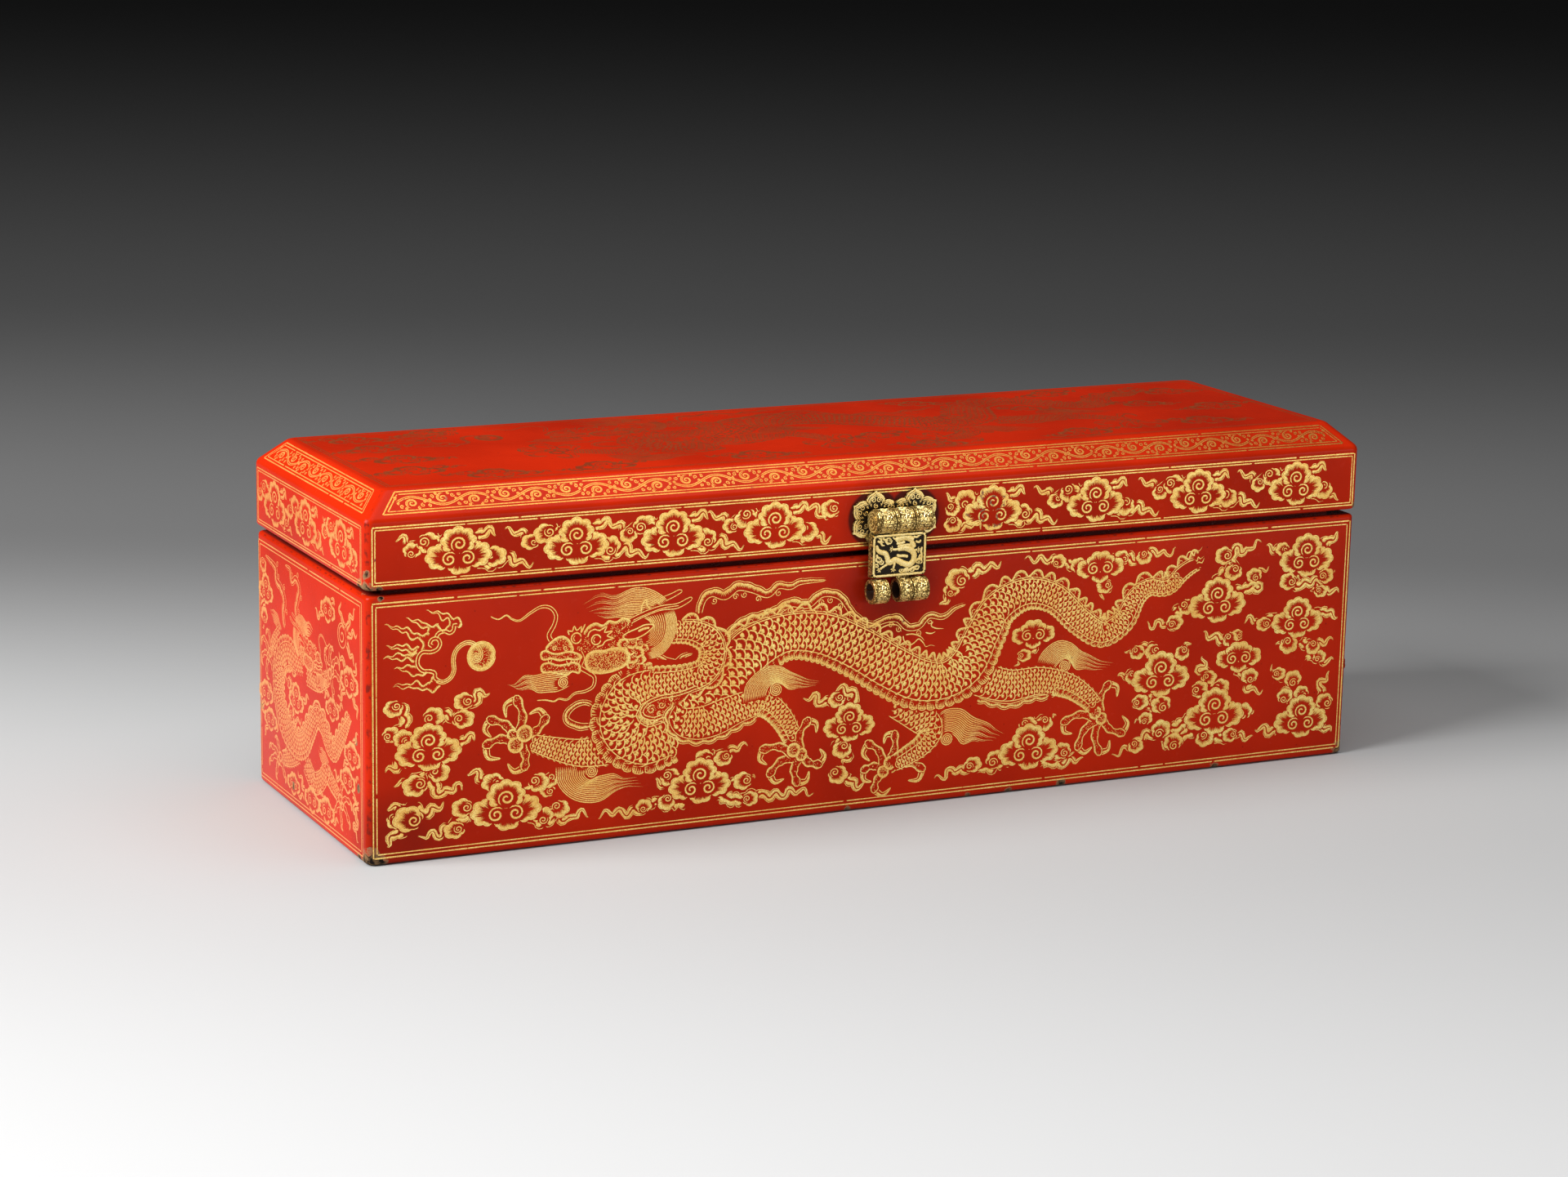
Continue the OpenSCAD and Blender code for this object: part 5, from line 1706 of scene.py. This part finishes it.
# %% Dragon and clouds of the left end
COIL = [(-8, 57, 4), (-16, 57, 5), (-25, 58, 5.6), (-33.5, 54, 5.8), (-37, 45, 5.6), (-35.5, 36, 5.6),
    (-28.5, 28, 5.6), (-17, 24.4, 5), (-7, 27, 4.8), (0, 34, 4.6), (7, 40.4, 4), (14, 39, 3.8),
    (20, 33.6, 3.6), (26, 32.4, 3.4), (31, 36.6, 3.2), (36, 41.6, 2.8), (43, 49, 1.4)]
END_CLOUDS = [
    dict(tails=[
            [(38, 81), (34, 84), (33, 89)], [(39.5, 80), (44, 85), (49.5, 89)],
            [(40, 78), (45, 79.6), (51, 81)], [(40, 75), (44, 72), (48.5, 70)],
        ],
        thick=3),
    dict(head=(-50, 76, 0.72),
        puffs=[(-52, 65, 2.6), (-53, 84.6, 2.4)],
        tails=[[(-52, 79), (-54, 83), (-51, 87.5)], [(-51, 71), (-54.6, 68), (-52.6, 63), (-55, 60.5)]],
        thick=4),
    dict(head=(-16, 42.4, 0.72),
        puffs=[(-22, 36, 2.2), (-24, 46, 1.8)],
        tails=[
            [(-19, 45), (-23.5, 47), (-29, 46.4)], [(-10, 42), (-6, 44), (-1.5, 45.6)],
            [(-18, 38), (-22, 35.4), (-16, 33.6), (-10, 35.6)],
        ],
        thick=3.6),
    dict(twin=(24, 47.6, 2.2),
        tails=[[(27, 49), (31, 50.4), (36, 51)], [(22, 50), (19, 52), (15, 51)]],
        thick=3),
    dict(twin=(42.4, 62, 2.9),
        tails=[
            [(39, 65), (36, 68), (31.4, 70)], [(45, 65), (48, 66.6), (51, 70)],
            [(39, 59), (35, 56), (30.6, 53)], [(45, 59), (48, 56), (51.6, 51)],
        ],
        thick=3.4),
    dict(twin=(45, 36, 2.6),
        tails=[[(41, 34), (38, 31.4), (35, 31)], [(46, 39), (47, 42), (51.4, 45)]],
        thick=3),
    dict(twin=(40, 26, 2.5),
        tails=[[(36, 25), (31, 24), (25, 25.6)], [(44, 26), (47, 28), (52, 28.6)], [(45, 22), (51.6, 20)]],
        thick=3),
    dict(tails=[[(51, 20), (46.6, 17), (50.6, 13.5), (46.6, 10), (51.4, 6.6)]], thick=3.4),
    dict(twin=(1, 8.4, 2.6), tails=[[(-3, 8), (-8, 10), (-11, 13), (-15, 15)]], thick=3.2),
    dict(twin=(17, 8.8, 2.6), tails=[[(21, 8), (26, 7), (30, 8)], [(15, 12), (10, 13), (8, 14)]], thick=3.2),
    dict(twin=(-51, 36, 2.5),
        tails=[[(-48, 38), (-46, 40), (-43.6, 39.4)], [(-53, 33), (-55, 30), (-54, 26)]],
        thick=3),
    dict(twin=(-46, 27, 2.3),
        tails=[[(-43, 26), (-40, 25), (-37, 27)], [(-48, 25), (-51, 22), (-54, 20)]],
        thick=3),
    dict(twin=(-20, 9, 2.2), tails=[[(-17, 8), (-13, 6.6), (-8, 6.4)]], thick=2.8),
    dict(twin=(20, 83, 2.4), tails=[[(16, 82), (11, 79), (6, 80)], [(23, 84), (26, 87), (24, 89)]], thick=3),
]


def end_dragon(art):
    """The coiled dragon of a short end, from the nearest part back."""
    face = Pattern()
    front_head(face)
    art.paste(face, 0.62, -1, (-72, 18))
    toes = [
        ((17, 65), (19.5, 69)), ((22.5, 69), (26, 69)), ((29.5, 67), (32, 63.5)),
        ((31.5, 60.5), (31.5, 56.5)), ((25.5, 54.5), (27, 51)),
    ]
    paw(art, 23, 61, 2.6, toes, [(22, 60.2, 2), (24.4, 62, 1.8)])
    leg(art, [(-4, 54, 4), (8, 54, 3.6), (16, 56.5, 3), (21, 59, 2.4)], 0.7)
    coil = Body(COIL)
    scales(art, coil, -0.82, 0.5)
    belly(art, coil, 0.58)
    crest(art, coil, 0.05, 1.0, 1.6)
    art.cover(coil.outline(0.3))
    toes = [
        ((-47, 60), (-50.5, 58)), ((-53, 56.5), (-55.5, 53)), ((-55, 49.5), (-54, 45.5)),
        ((-50, 44.5), (-47, 42)), ((-43, 46.5), (-41.6, 43)),
    ]
    paw(art, -47, 51.5, 2.4, toes, [(-46, 52.4, 1.9), (-48, 50.6, 1.7)])
    leg(art, [(-33, 62, 4), (-40, 57.4, 3.4), (-44.5, 53.4, 2.4)], 0.8)
    outer = [(-32, 64), (-37, 69), (-42, 69.4), (-46, 69)]
    inner = [(-36, 62), (-39, 64.6), (-42, 66), (-45, 68)]
    tuft(art, [outer, inner], 8)
    toes = [
        ((-38, 20.5), (-41.5, 21)), ((-44.5, 17), (-48, 15)), ((-45.5, 12), (-47.5, 8.5)),
        ((-39.5, 8.6), (-38.5, 5.4)), ((-30.5, 9.6), (-29.5, 6.4)),
    ]
    paw(art, -36, 14.4, 2.4, toes, [(-35, 15.4, 1.9), (-37, 13.4, 1.7)])
    leg(art, [(-14, 23, 4.5), (-22, 19, 4), (-28, 16.8, 3.2), (-33, 15.6, 2.4)], 0.7)
    toes = [
        ((34, 22), (37.5, 22)), ((41.5, 18.5), (44, 15.6)), ((40.5, 11.5), (41.5, 8)),
        ((33.5, 9), (35, 6)), ((27, 11.6), (25.4, 8.6)),
    ]
    paw(art, 33, 16, 2.4, toes, [(32, 17, 1.9), (34, 15, 1.7)])
    path = [(-6, 21, 4.5), (3, 15.6, 4.2), (11, 18, 3.8), (17, 22.4, 3.6), (24, 20, 3.2), (30.6, 17.4, 2.4)]
    leg(art, path, 0.7)
    tuft(art, [[(20, 27), (15, 30), (9, 30.6)], [(15, 23.6), (12, 25.6), (8, 28)]], 7)
    scarf = [(-28, 66), (-29.5, 71), (-28, 76), (-32, 80), (-37.6, 82), (-37.6, 86), (-44, 87.6),
        (-50, 88.4)]
    ribbon(art, scarf, 3.4)
    scarf = [(-13, 70), (-15, 75), (-12.6, 80), (-11, 84), (-15, 87), (-20, 85), (-21.4, 89), (-27, 89.4)]
    ribbon(art, scarf, 3)
    curl(art, 35, 77, 3.8, 1, 1, 0.6)
    art.draw(circle(35, 77, 4.4, 20), 0.46)
    art.covers.clear()


# %% [markdown]
# Here the clouds share one drawing with the dragon, and the panel lines run round both.

# %% Gold of the left end
LEFT_FACE = ((0, -1, 0), (0, 0, 1), (base_low.x, 0, 0))

left_end = Pattern()
end_dragon(left_end)
for parts in END_CLOUDS:
    cloud(left_end, **parts)
panel_lines(left_end, box_corners(-58, 2.4, 55.6, 93), 1.4)
gold_of_left += lay(left_end, "left_dragon", "base", *LEFT_FACE, END_GOLD)

# %% [markdown]
# ## The top
#
# The top carries the front's dragon and pearl again, moved to the right, with clouds of its own in the
# open places. Its gold is a darker, duller copy of the same leaf, toned for how the top looks under this
# light: painted shade.

# %% Gold of the top
TOP_FACE = ((1, 0, 0), (0, 1, 0), (0, 0, lid_high.z))
TOP_CLOUDS = [(-172, 38, 0.9, 1), (-144, 42, 0.7, -1), (-172, 19, 0.9, -1), (-168, -3, 1, 1),
    (-172, -24, 1, -1), (-146, -38, 1, 1), (-105, -38, 1, -1), (-44, -38, 1, 1), (14, -18, 0.8, -1),
    (26, -40, 0.8, 1), (92, -38, 1, -1), (150, -32, 1, 1), (170, -6, 1, -1), (146, 8, 0.8, 1),
    (60, 38, 0.7, 1), (120, 40, 0.8, -1), (170, 30, 0.9, 1), (96, 14, 0.6, 1)]


def drifting_cloud(art, x, y, s, turn):
    """A cloud with a tail on each side; turn says which of them rises."""
    dx = turn * s
    tails = [
        [(x - 6 * dx, y + 2), (x - 12 * dx, y + 4), (x - 16 * dx, y + 2), (x - 21 * dx, y + 4)],
        [(x + 6 * dx, y - 2), (x + 12 * dx, y - 4.5), (x + 16 * dx, y - 2.5), (x + 20 * dx, y - 4)],
    ]
    cloud(art, (x, y, s), None, [(x - 11 * dx, y + 3.6, 2.5), (x + 12 * dx, y - 3.4, 2.4)], tails, 4.6)


top_gold = Pattern()
top_gold.paste(dragon, 0.98, 1, (33, -51), 1.07)
for place in TOP_CLOUDS:
    drifting_cloud(top_gold, *place)
panel_lines(top_gold, box_corners(-190.4, -48.4, 190.4, 48.4), 1.3)
lay(top_gold, "top_dragon", "lid", *TOP_FACE, TOP_GOLD)

# %% [markdown]
# ## Rear and right end
#
# The rear and the right end are drawn as the front and the left end are, so each of their pieces is a
# copy with its own mesh, turned half round about the upright axis.

# %% Copies for the rear and the right end


def half_turn(piece, name, body):
    """A copy of a laid piece on the opposite side of the box."""
    twin = piece.copy()
    twin.data = piece.data.copy()
    twin.name = name
    bpy.context.scene.collection.objects.link(twin)
    take(twin)
    twin.matrix_world = Matrix.Rotation(math.pi, 4, "Z")
    bpy.ops.object.transform_apply(location=True, rotation=True, scale=True)
    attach(twin, body)


for pieces, side, opposite in ((gold_of_front, "front", "rear"), (gold_of_left, "left", "right")):
    for piece in pieces:
        body = "lid" if piece.name.startswith("lid") else "base"
        half_turn(piece, piece.name.replace(side, opposite), body)
print(f"{len(gold_of_front) + len(gold_of_left)} pieces copied to the rear and the right end")

# %% [markdown]
# ## Metalwork
#
# The fittings are iron with gold hammered into fine cuts. Round pieces are gold nearly all over, broken by
# a small scroll of black where the iron shows, and rust sits in the bore for the bolt. The flat fronts of
# the plates stay black iron here, because their gold is drawn with strokes below.

# %% Damascened iron
BOLT_AXIS = Vector((0, -65.2, 83.4))
BOLT_R = 3


def damascened(name, flats, dark, light):
    """Iron inlaid with gold; the faces that look straight to the front or the rear are bare if flats."""
    material, tree, place = new_material(name)
    bend = noise(tree, place, 0.9, 2.0)
    pushed = node(tree, "VectorMath", MULTIPLY_ADD, i0=bend.outputs[1], i1=(0.5 * MM,) * 3, i2=place)
    edges = {"feature": "DISTANCE_TO_EDGE"}
    vines = node(tree, "TexVoronoi", edges, Vector=pushed, Scale=1 / (1.2 * MM))
    seeds = node(tree, "TexVoronoi", Vector=pushed, Scale=1 / (1.2 * MM))
    line = ramp(tree, vines, 0.1, 0.18)
    dot = ramp(tree, seeds, 0.14, 0.2)
    inlay = node(tree, "Math", MINIMUM, i0=line, i1=dot)
    if flats:
        facing = node(tree, "TexCoord").outputs["Normal"]
        dot_y = node(tree, "VectorMath", DOT_PRODUCT, i0=facing, i1=(0, 1, 0))
        level = node(tree, "Math", {"operation": "ABSOLUTE"}, i0=dot_y.outputs["Value"])
        sides = ramp(tree, level, 0.97, 0.95)
        inlay = node(tree, "Math", MULTIPLY, i0=inlay, i1=sides)
    tone = noise(tree, place, 3, 3.0)
    aged = blend(tree, tone, "#FFE698", "#D8B05C")
    iron = blend(tree, tone, dark, light)
    mixed = blend(tree, inlay, iron, aged)
    across = node(tree, "VectorMath", MULTIPLY, i0=place, i1=(0, 1, 1))
    away = node(tree, "VectorMath", DISTANCE, i0=across, i1=BOLT_AXIS * MM).outputs["Value"]
    rust = ramp(tree, away, (BOLT_R + 0.1) * MM, (BOLT_R + 0.2) * MM)
    shown = blend(tree, rust, "#3A2216", mixed)
    metal = ramp(tree, rust, 0, 1, 0.2, 0.85)
    rough = ramp(tree, inlay, 0, 1, 0.5, 0.3)
    return coated(material, Base_Color=shown, Metallic=metal, Roughness=rough)


FLECKED_IRON = damascened("iron flecked with gold", False, "#3A2A12", "#8A6A30")
PLATE_IRON = damascened("iron of the plates", True, "#15110C", "#2E2418")
INLAY_GOLD = gold_leaf("gold hammered into iron", "#FFF0B4", "#E4BC60", "#2A2014", 0.72)
PLATES = ["left_rosette", "right_rosette", "hasp_face_plate"]
for side in ("left", "right"):
    PLATES += [f"{side}_hinge_base_leaf", f"{side}_hinge_lid_leaf"]
for name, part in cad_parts.items():
    if name not in BASE_BOARDS + LID_BOARDS and not name.startswith("liner"):
        recoat(part, PLATE_IRON if name in PLATES else FLECKED_IRON)
print("metal nodes dressed, plates:", len(PLATES))

# %% [markdown]
# A rosette has six petals with a small point. Each is drawn with a broad gold rim on the border of the
# plate and, on its raised field, two thinner lines, two spirals side by side and a third at the root.

# %% Rosettes
PETAL_R, PETAL_AT, PETAL_TIP = 4.0, 5.6, 10.5
BORDER_Y, FIELD_Y = 1.0, 1.4


def petal_edge(turn, inset):
    """Visible edge of one petal, drawn in by an inset, with its tip in a direction."""
    r = PETAL_R - inset
    reach = 74 + 25 * inset
    half = []
    for share in (1, 0.8, 0.6, 0.4, 0.25, 0.12):
        angle = math.radians(reach * share)
        half.append((PETAL_AT + r * math.cos(angle), r * math.sin(angle)))
    edge = half + [(PETAL_TIP - 1.3 * inset, 0)] + [(x, -y) for x, y in half[::-1]]
    return [spun(turn, x, y) for x, y in edge]


def spun(turn, x, y):
    return x * math.cos(turn) - y * math.sin(turn), x * math.sin(turn) + y * math.cos(turn)


def rosette(cut):
    """Border and field drawings of one rosette; cut is an outline where the plate is cut away."""
    border, field = Pattern(), Pattern()
    for art in (border, field):
        art.cover(cut)
    for k in range(6):
        turn = math.pi / 2 + k * TAU / 6
        border.draw(petal_edge(turn, 0.38), 0.9)
        field.draw(petal_edge(turn, 0.92), 0.5)
        field.draw(petal_edge(turn, 1.5), 0.26)
        for side in (-1, 1):
            x, y = spun(turn, 6.9, 1.15 * side)
            curl(field, x, y, 1.15, -side, turn + side * 1.2, 0.38)
            leaf = ((4.4, 1.9 * side), (5.2, 2.1 * side), (5.8, 1.8 * side))
            field.draw([spun(turn, *at) for at in leaf], 0.5)
        x, y = spun(turn, 4.7, 0)
        curl(field, x, y, 1.05, 1, turn, 0.38)
    return border, field


def lay_rosette(name, body, right, x, wall, z, cut):
    """Lays both drawings of a rosette that stands out from a wall; right says which way it looks."""
    out = -right[0]
    for art, high, word in zip(rosette(cut), (BORDER_Y, FIELD_Y), ("border", "field")):
        at = (x, wall + out * high, z)
        lay(art, f"{name}_{word}", body, right, (0, 0, 1), at, INLAY_GOLD, "gilt_metal")


ROW_Z = 109.8
lay_rosette("left_rosette", "lid", (1, 0, 0), -8, lid_low.y, ROW_Z, box_corners(7.7, -15, 30, 15))
lay_rosette("right_rosette", "lid", (1, 0, 0), 8, lid_low.y, ROW_Z, box_corners(-30, -15, -7.7, 15))
HINGE_X, HINGE_Z, LEAF_UP = 120, 97, 12.8
for side, x in (("left", -HINGE_X), ("right", HINGE_X)):
    above, below = box_corners(-15, -15, 15, -8.6), box_corners(-15, 8.6, 15, 15)
    lay_rosette(f"{side}_lid_leaf", "lid", (-1, 0, 0), x, lid_high.y, HINGE_Z + LEAF_UP, above)
    lay_rosette(f"{side}_base_leaf", "base", (-1, 0, 0), x, base_high.y, HINGE_Z - LEAF_UP, below)

# %% [markdown]
# The face plate of the hasp has a gold border, and within it a small dragon among clouds on black iron. Its
# body is one stroke whose width changes along the way.

# %% Face plate
FACE_LOW, FACE_HIGH = span("hasp_face_plate")
FACE_MIDDLE = (FACE_LOW + FACE_HIGH) / 2
PLATE_BORDER = [(-9.7, -7.4), (9.7, -7.4), (10.4, -6.7), (10.4, 6.7), (9.7, 7.4), (-9.7, 7.4),
    (-10.4, 6.7), (-10.4, -6.7)]
PLATE_SPINE = [(-9.2, 4.2, 0.9), (-8.8, 2.4, 1.6), (-7.4, 1.4, 1.8), (-5.6, 0.8, 2), (-4.8, -0.8, 2.1),
    (-4.3, -2.4, 2.4), (-2.8, -2.4, 2.3), (-1.2, -1.8, 2.2), (1.6, -3.3, 2.3), (4.1, -4, 2.3),
    (5.9, -2.8, 2.3), (6.2, -0.6, 2.3), (5.2, 1.2, 2.4), (3, 2.2, 2.4), (1, 2.2, 1.8), (-0.8, 1.8, 1.2)]
PLATE_HEAD = [
    ([(-1.6, 5.2), (0, 6), (2, 6.3), (4, 5.9), (5.8, 4.8)], 2.4), ([(4.4, 4.4), (5.6, 3.6), (6, 2)], 2),
    ([(-1.2, 4.2), (0.6, 4.2), (2.4, 4.6)], 1.1), ([(-0.8, 3), (1, 3.2), (3, 3.4), (5, 3.2)], 1),
    ([(5.6, 6.4), (7.2, 6), (8.4, 6.8), (9.6, 6.6)], 0.8), ([(6.6, 4.6), (8.2, 4), (8.8, 5)], 0.8),
    ([(-1, 5.6), (-2, 6), (-2.8, 7)], 0.6), ([(-1, -0.1), (0.4, -0.5), (2, -0.6), (3.8, -1)], 1.1),
]
PLATE_FLAMES = [
    [(-8.6, 7), (-7.6, 6.4), (-7.4, 5.4), (-6.2, 5)], [(-9, 5.6), (-7.6, 5), (-7, 4), (-5.8, 3.8)],
    [(-6.8, 7), (-6.4, 6.2), (-5.6, 5.8), (-4.6, 5.6)], [(9.5, 2.2), (9, 0.6), (9.4, -1), (8.6, -2.6)],
    [(-9.2, 0.8), (-8.8, -0.4), (-8, -0.8)], [(2, -5.9), (4, -6), (6, -5.2), (8, -4.8)],
]
PLATE_LEGS = [
    [(-4.6, -3.2), (-6.6, -4.2), (-7.8, -5)], [(-1.6, -2.6), (-2, -4.2), (-2.2, -5.2)],
    [(0.6, 2.2), (-1.6, 2), (-2.8, 2.2)], [(5.8, 0.9), (6.8, 1.2), (7.6, 1.2)],
]
PLATE_CURLS = [(-4.2, 5.4, 1.2), (-8.2, -1.2, 1.1), (-7.2, -2.4, 0.8), (8.3, -3.2, 1.2), (9.2, -1.4, 0.8),
    (7.4, -5.2, 0.9), (5.4, -6, 0.8), (3.2, -6.2, 0.9), (1.2, -6, 0.8), (-9.2, -3.6, 0.7)]


def bar(art, start, stop, width):
    """A straight stroke with blunt ends."""
    ways = (0, 0.02, 0.5, 0.98, 1)
    art.draw([tuple(a + (b - a) * t for a, b in zip(start, stop)) for t in ways], width)


plate_border = Pattern()
for start, stop in zip(PLATE_BORDER, PLATE_BORDER[1:] + PLATE_BORDER[:1]):
    bar(plate_border, start, stop, 0.9)

plate_dragon = Pattern()
spine = spaced(smooth(PLATE_SPINE, 0.5), 0.4)
plate_dragon.draw(spine, [point[2] for point in spine])
for guide, width in PLATE_HEAD:
    plate_dragon.draw(smooth(guide, 0.4), width)
for guide in PLATE_FLAMES:
    plate_dragon.draw(smooth(guide, 0.4), 0.9, tail=0.4)
for limb in PLATE_LEGS:
    plate_dragon.draw(smooth(limb, 0.4), 0.9)
    (ax, ay), (bx, by) = limb[1], limb[2]
    way = math.atan2(by - ay, bx - ax)
    for spread in (-1.3, -0.45, 0.4, 1.2):
        dx, dy = math.cos(way + spread), math.sin(way + spread)
        plate_dragon.draw([(bx + reach * dx, by + reach * dy) for reach in (0, 0.7, 1.4)], 0.5)
for x, y, r in PLATE_CURLS:
    puff(plate_dragon, x, y, r)
    way = chance.uniform(-0.5, 0.5) + (0 if chance.random() < 0.5 else math.pi)
    trail = [(x + reach * math.cos(way), y + 0.5 * reach * math.sin(way)) for reach in (r, r + 0.8, r + 1.6)]
    plate_dragon.draw(trail, 0.6, tail=0.6)

PLATE_SINK = 0.3
FRONTWARD = ((1, 0, 0), (0, 0, 1))
border_at = (FACE_MIDDLE.x, FACE_LOW.y, FACE_MIDDLE.z)
field_at = (FACE_MIDDLE.x, FACE_LOW.y + PLATE_SINK, FACE_MIDDLE.z)
lay(plate_border, "face_plate_border", "hasp", *FRONTWARD, border_at, INLAY_GOLD, "gilt_metal")
lay(plate_dragon, "face_plate_dragon", "hasp", *FRONTWARD, field_at, INLAY_GOLD, "gilt_metal")

# %% [markdown]
# Round each knuckle of the hasp and each staple runs a scroll of paired spirals, drawn flat and then bent
# about the axis of its row.

# %% Scrolls round the knuckles
HASP_AXIS = Vector((0, -67, ROW_Z))
KNUCKLE_R = 4.3
KNUCKLES = [("left_hasp_knuckle", "lid", -11, HASP_AXIS, 7),
    ("hasp_upper_knuckle", "hasp", -3.7, HASP_AXIS, 7.4), ("right_hasp_knuckle", "lid", 4, HASP_AXIS, 7),
    ("left_staple", "base", -11.2, BOLT_AXIS, 6.3), ("hasp_lower_knuckle", "hasp", -0.6, BOLT_AXIS, 5.2),
    ("right_staple", "base", 4.9, BOLT_AXIS, 6.3)]

for name, body, left, axis, long in KNUCKLES:
    turned = Pattern()
    middle, wide = left + long / 2, long / 2 - 1.4
    for row in range(-3, 4):
        for side in (-1, 1):
            curl(turned, middle + 0.5 * side * wide, 2.1 * row + 0.3 * side, 0.52 * wide, side, row, 0.42)
        turned.draw([(middle + t * wide, 2.1 * row + 1.05 - 0.3 * t) for t in (-0.9, -0.4, 0.1, 0.6)], 0.5)
    for edge in (left + 0.4, left + 1.1, left + long - 1.1, left + long - 0.4):
        turned.draw([(edge, 1.1 * step) for step in range(-6, 7)], 0.44)
    lay(turned, f"{name}_scroll", body, *FRONTWARD, axis, INLAY_GOLD, "gilt_metal", KNUCKLE_R)

# %% [markdown]
# The pin of the hasp has a stepped head at each end, and a gold ring lies on each of the steps.

# %% Rings of the hasp pin
pin_low, pin_high = span("hasp_pin")
pin_middle = (pin_low + pin_high) / 2
for side, word in ((-1, "left"), (1, "right")):
    for step, r in enumerate((1.2, 2.5, 3.6)):
        rings = Pattern()
        rings.draw(circle(0, 0, r, 24), 0.5)
        at = (side * (pin_high.x - 0.3 * step), pin_middle.y, pin_middle.z)
        name = f"hasp_pin_{word}_ring_{step + 1}"
        lay(rings, name, "lid", (0, side, 0), (0, 0, 1), at, INLAY_GOLD, "gilt_metal")

# %% [markdown]
# ## Studio
#
# A pale floor runs back under the box and is painted darker into a grey backdrop: painted shade that
# stands for the light falling off toward the back. One large soft lamp stands high at the left and gives
# most of the light. A wide, weak one hangs over the box and a lit card stands in front, so that the gold
# of the bevel, the front and the metalwork has something pale to mirror.

# %% Floor and backdrop
# Greys of the floor by distance from the camera: painted shade for the light falling off toward the back.
FLOOR_TONES = [(-0.5, -0.05, "#A8A8A8"), (-0.05, 0.42, "#686868"), (0.42, 1.2, "#4E4E4E"),
    (1.2, 4.6, "#343434")]

deselect_all()
bpy.ops.mesh.primitive_plane_add(size=16, location=(0, 0, -0.0003))
floor = bpy.context.object
floor.name = "floor"
sheet, tree, place = new_material("graded paper sheet")
view_axis = Vector((CAMERA_FORWARD.x, CAMERA_FORWARD.y, 0)).normalized()
depth = node(tree, "VectorMath", DOT_PRODUCT, i0=place, i1=view_axis).outputs["Value"]
tone = "#BEBEBE"
for near, far, grey in FLOOR_TONES:
    fade = node(tree, "MapRange", {"interpolation_type": "SMOOTHSTEP"}, Value=depth, i1=near, i2=far)
    tone = blend(tree, fade, tone, grey)
recoat(floor, coated(sheet, Base_Color=tone, Roughness=0.9, Specular_IOR_Level=0.1))

world = bpy.data.worlds.new("studio")
bpy.context.scene.world = world
world.use_nodes = True
tree = world.node_tree
backdrop = tree.nodes["Background"]
rays = node(tree, "LightPath")
seen = 0.0
for kind in ("Camera", "Glossy", "Transmission"):
    seen = node(tree, "Math", MAXIMUM, i0=seen, i1=rays.outputs[f"Is {kind} Ray"])
shade = blend(tree, seen, "#505050", "#1E1E1E")
tree.links.new(shade.outputs[2], backdrop.inputs["Color"])
backdrop.inputs["Strength"].default_value = 1.0

# %% [markdown]
# The lamps are area lights, because a large face gives shadows their soft edges. Their power is in watts,
# and low enough that the colours of the box come out about as they are written.

# %% Lamps


def soft_lamp(name, at, aim, size, power):
    lamp_data = bpy.data.lights.new(name, "AREA")
    lamp_data.shape = "RECTANGLE"
    lamp_data.size, lamp_data.size_y = size
    lamp_data.energy = power
    lamp = bpy.data.objects.new(name, lamp_data)
    bpy.context.scene.collection.objects.link(lamp)
    lamp.location = at
    lamp.rotation_euler = (Vector(aim) - Vector(at)).to_track_quat("-Z", "Y").to_euler()
    return lamp


soft_lamp("left softbox", (-1.7, -0.12, 1.16), (0, 0, 0.06), (1.2, 1.2), 79)
soft_lamp("overhead softbox", (0.1, -0.4, 1.9), (0, 0, 0.1), (1.8, 1.5), 22)
soft_lamp("front card", (0.6, -1.6, 0.22), (0, 0, 0.05), (2.0, 0.24), 9)
bpy.context.scene.view_settings.view_transform = "Standard"
print("studio ready")
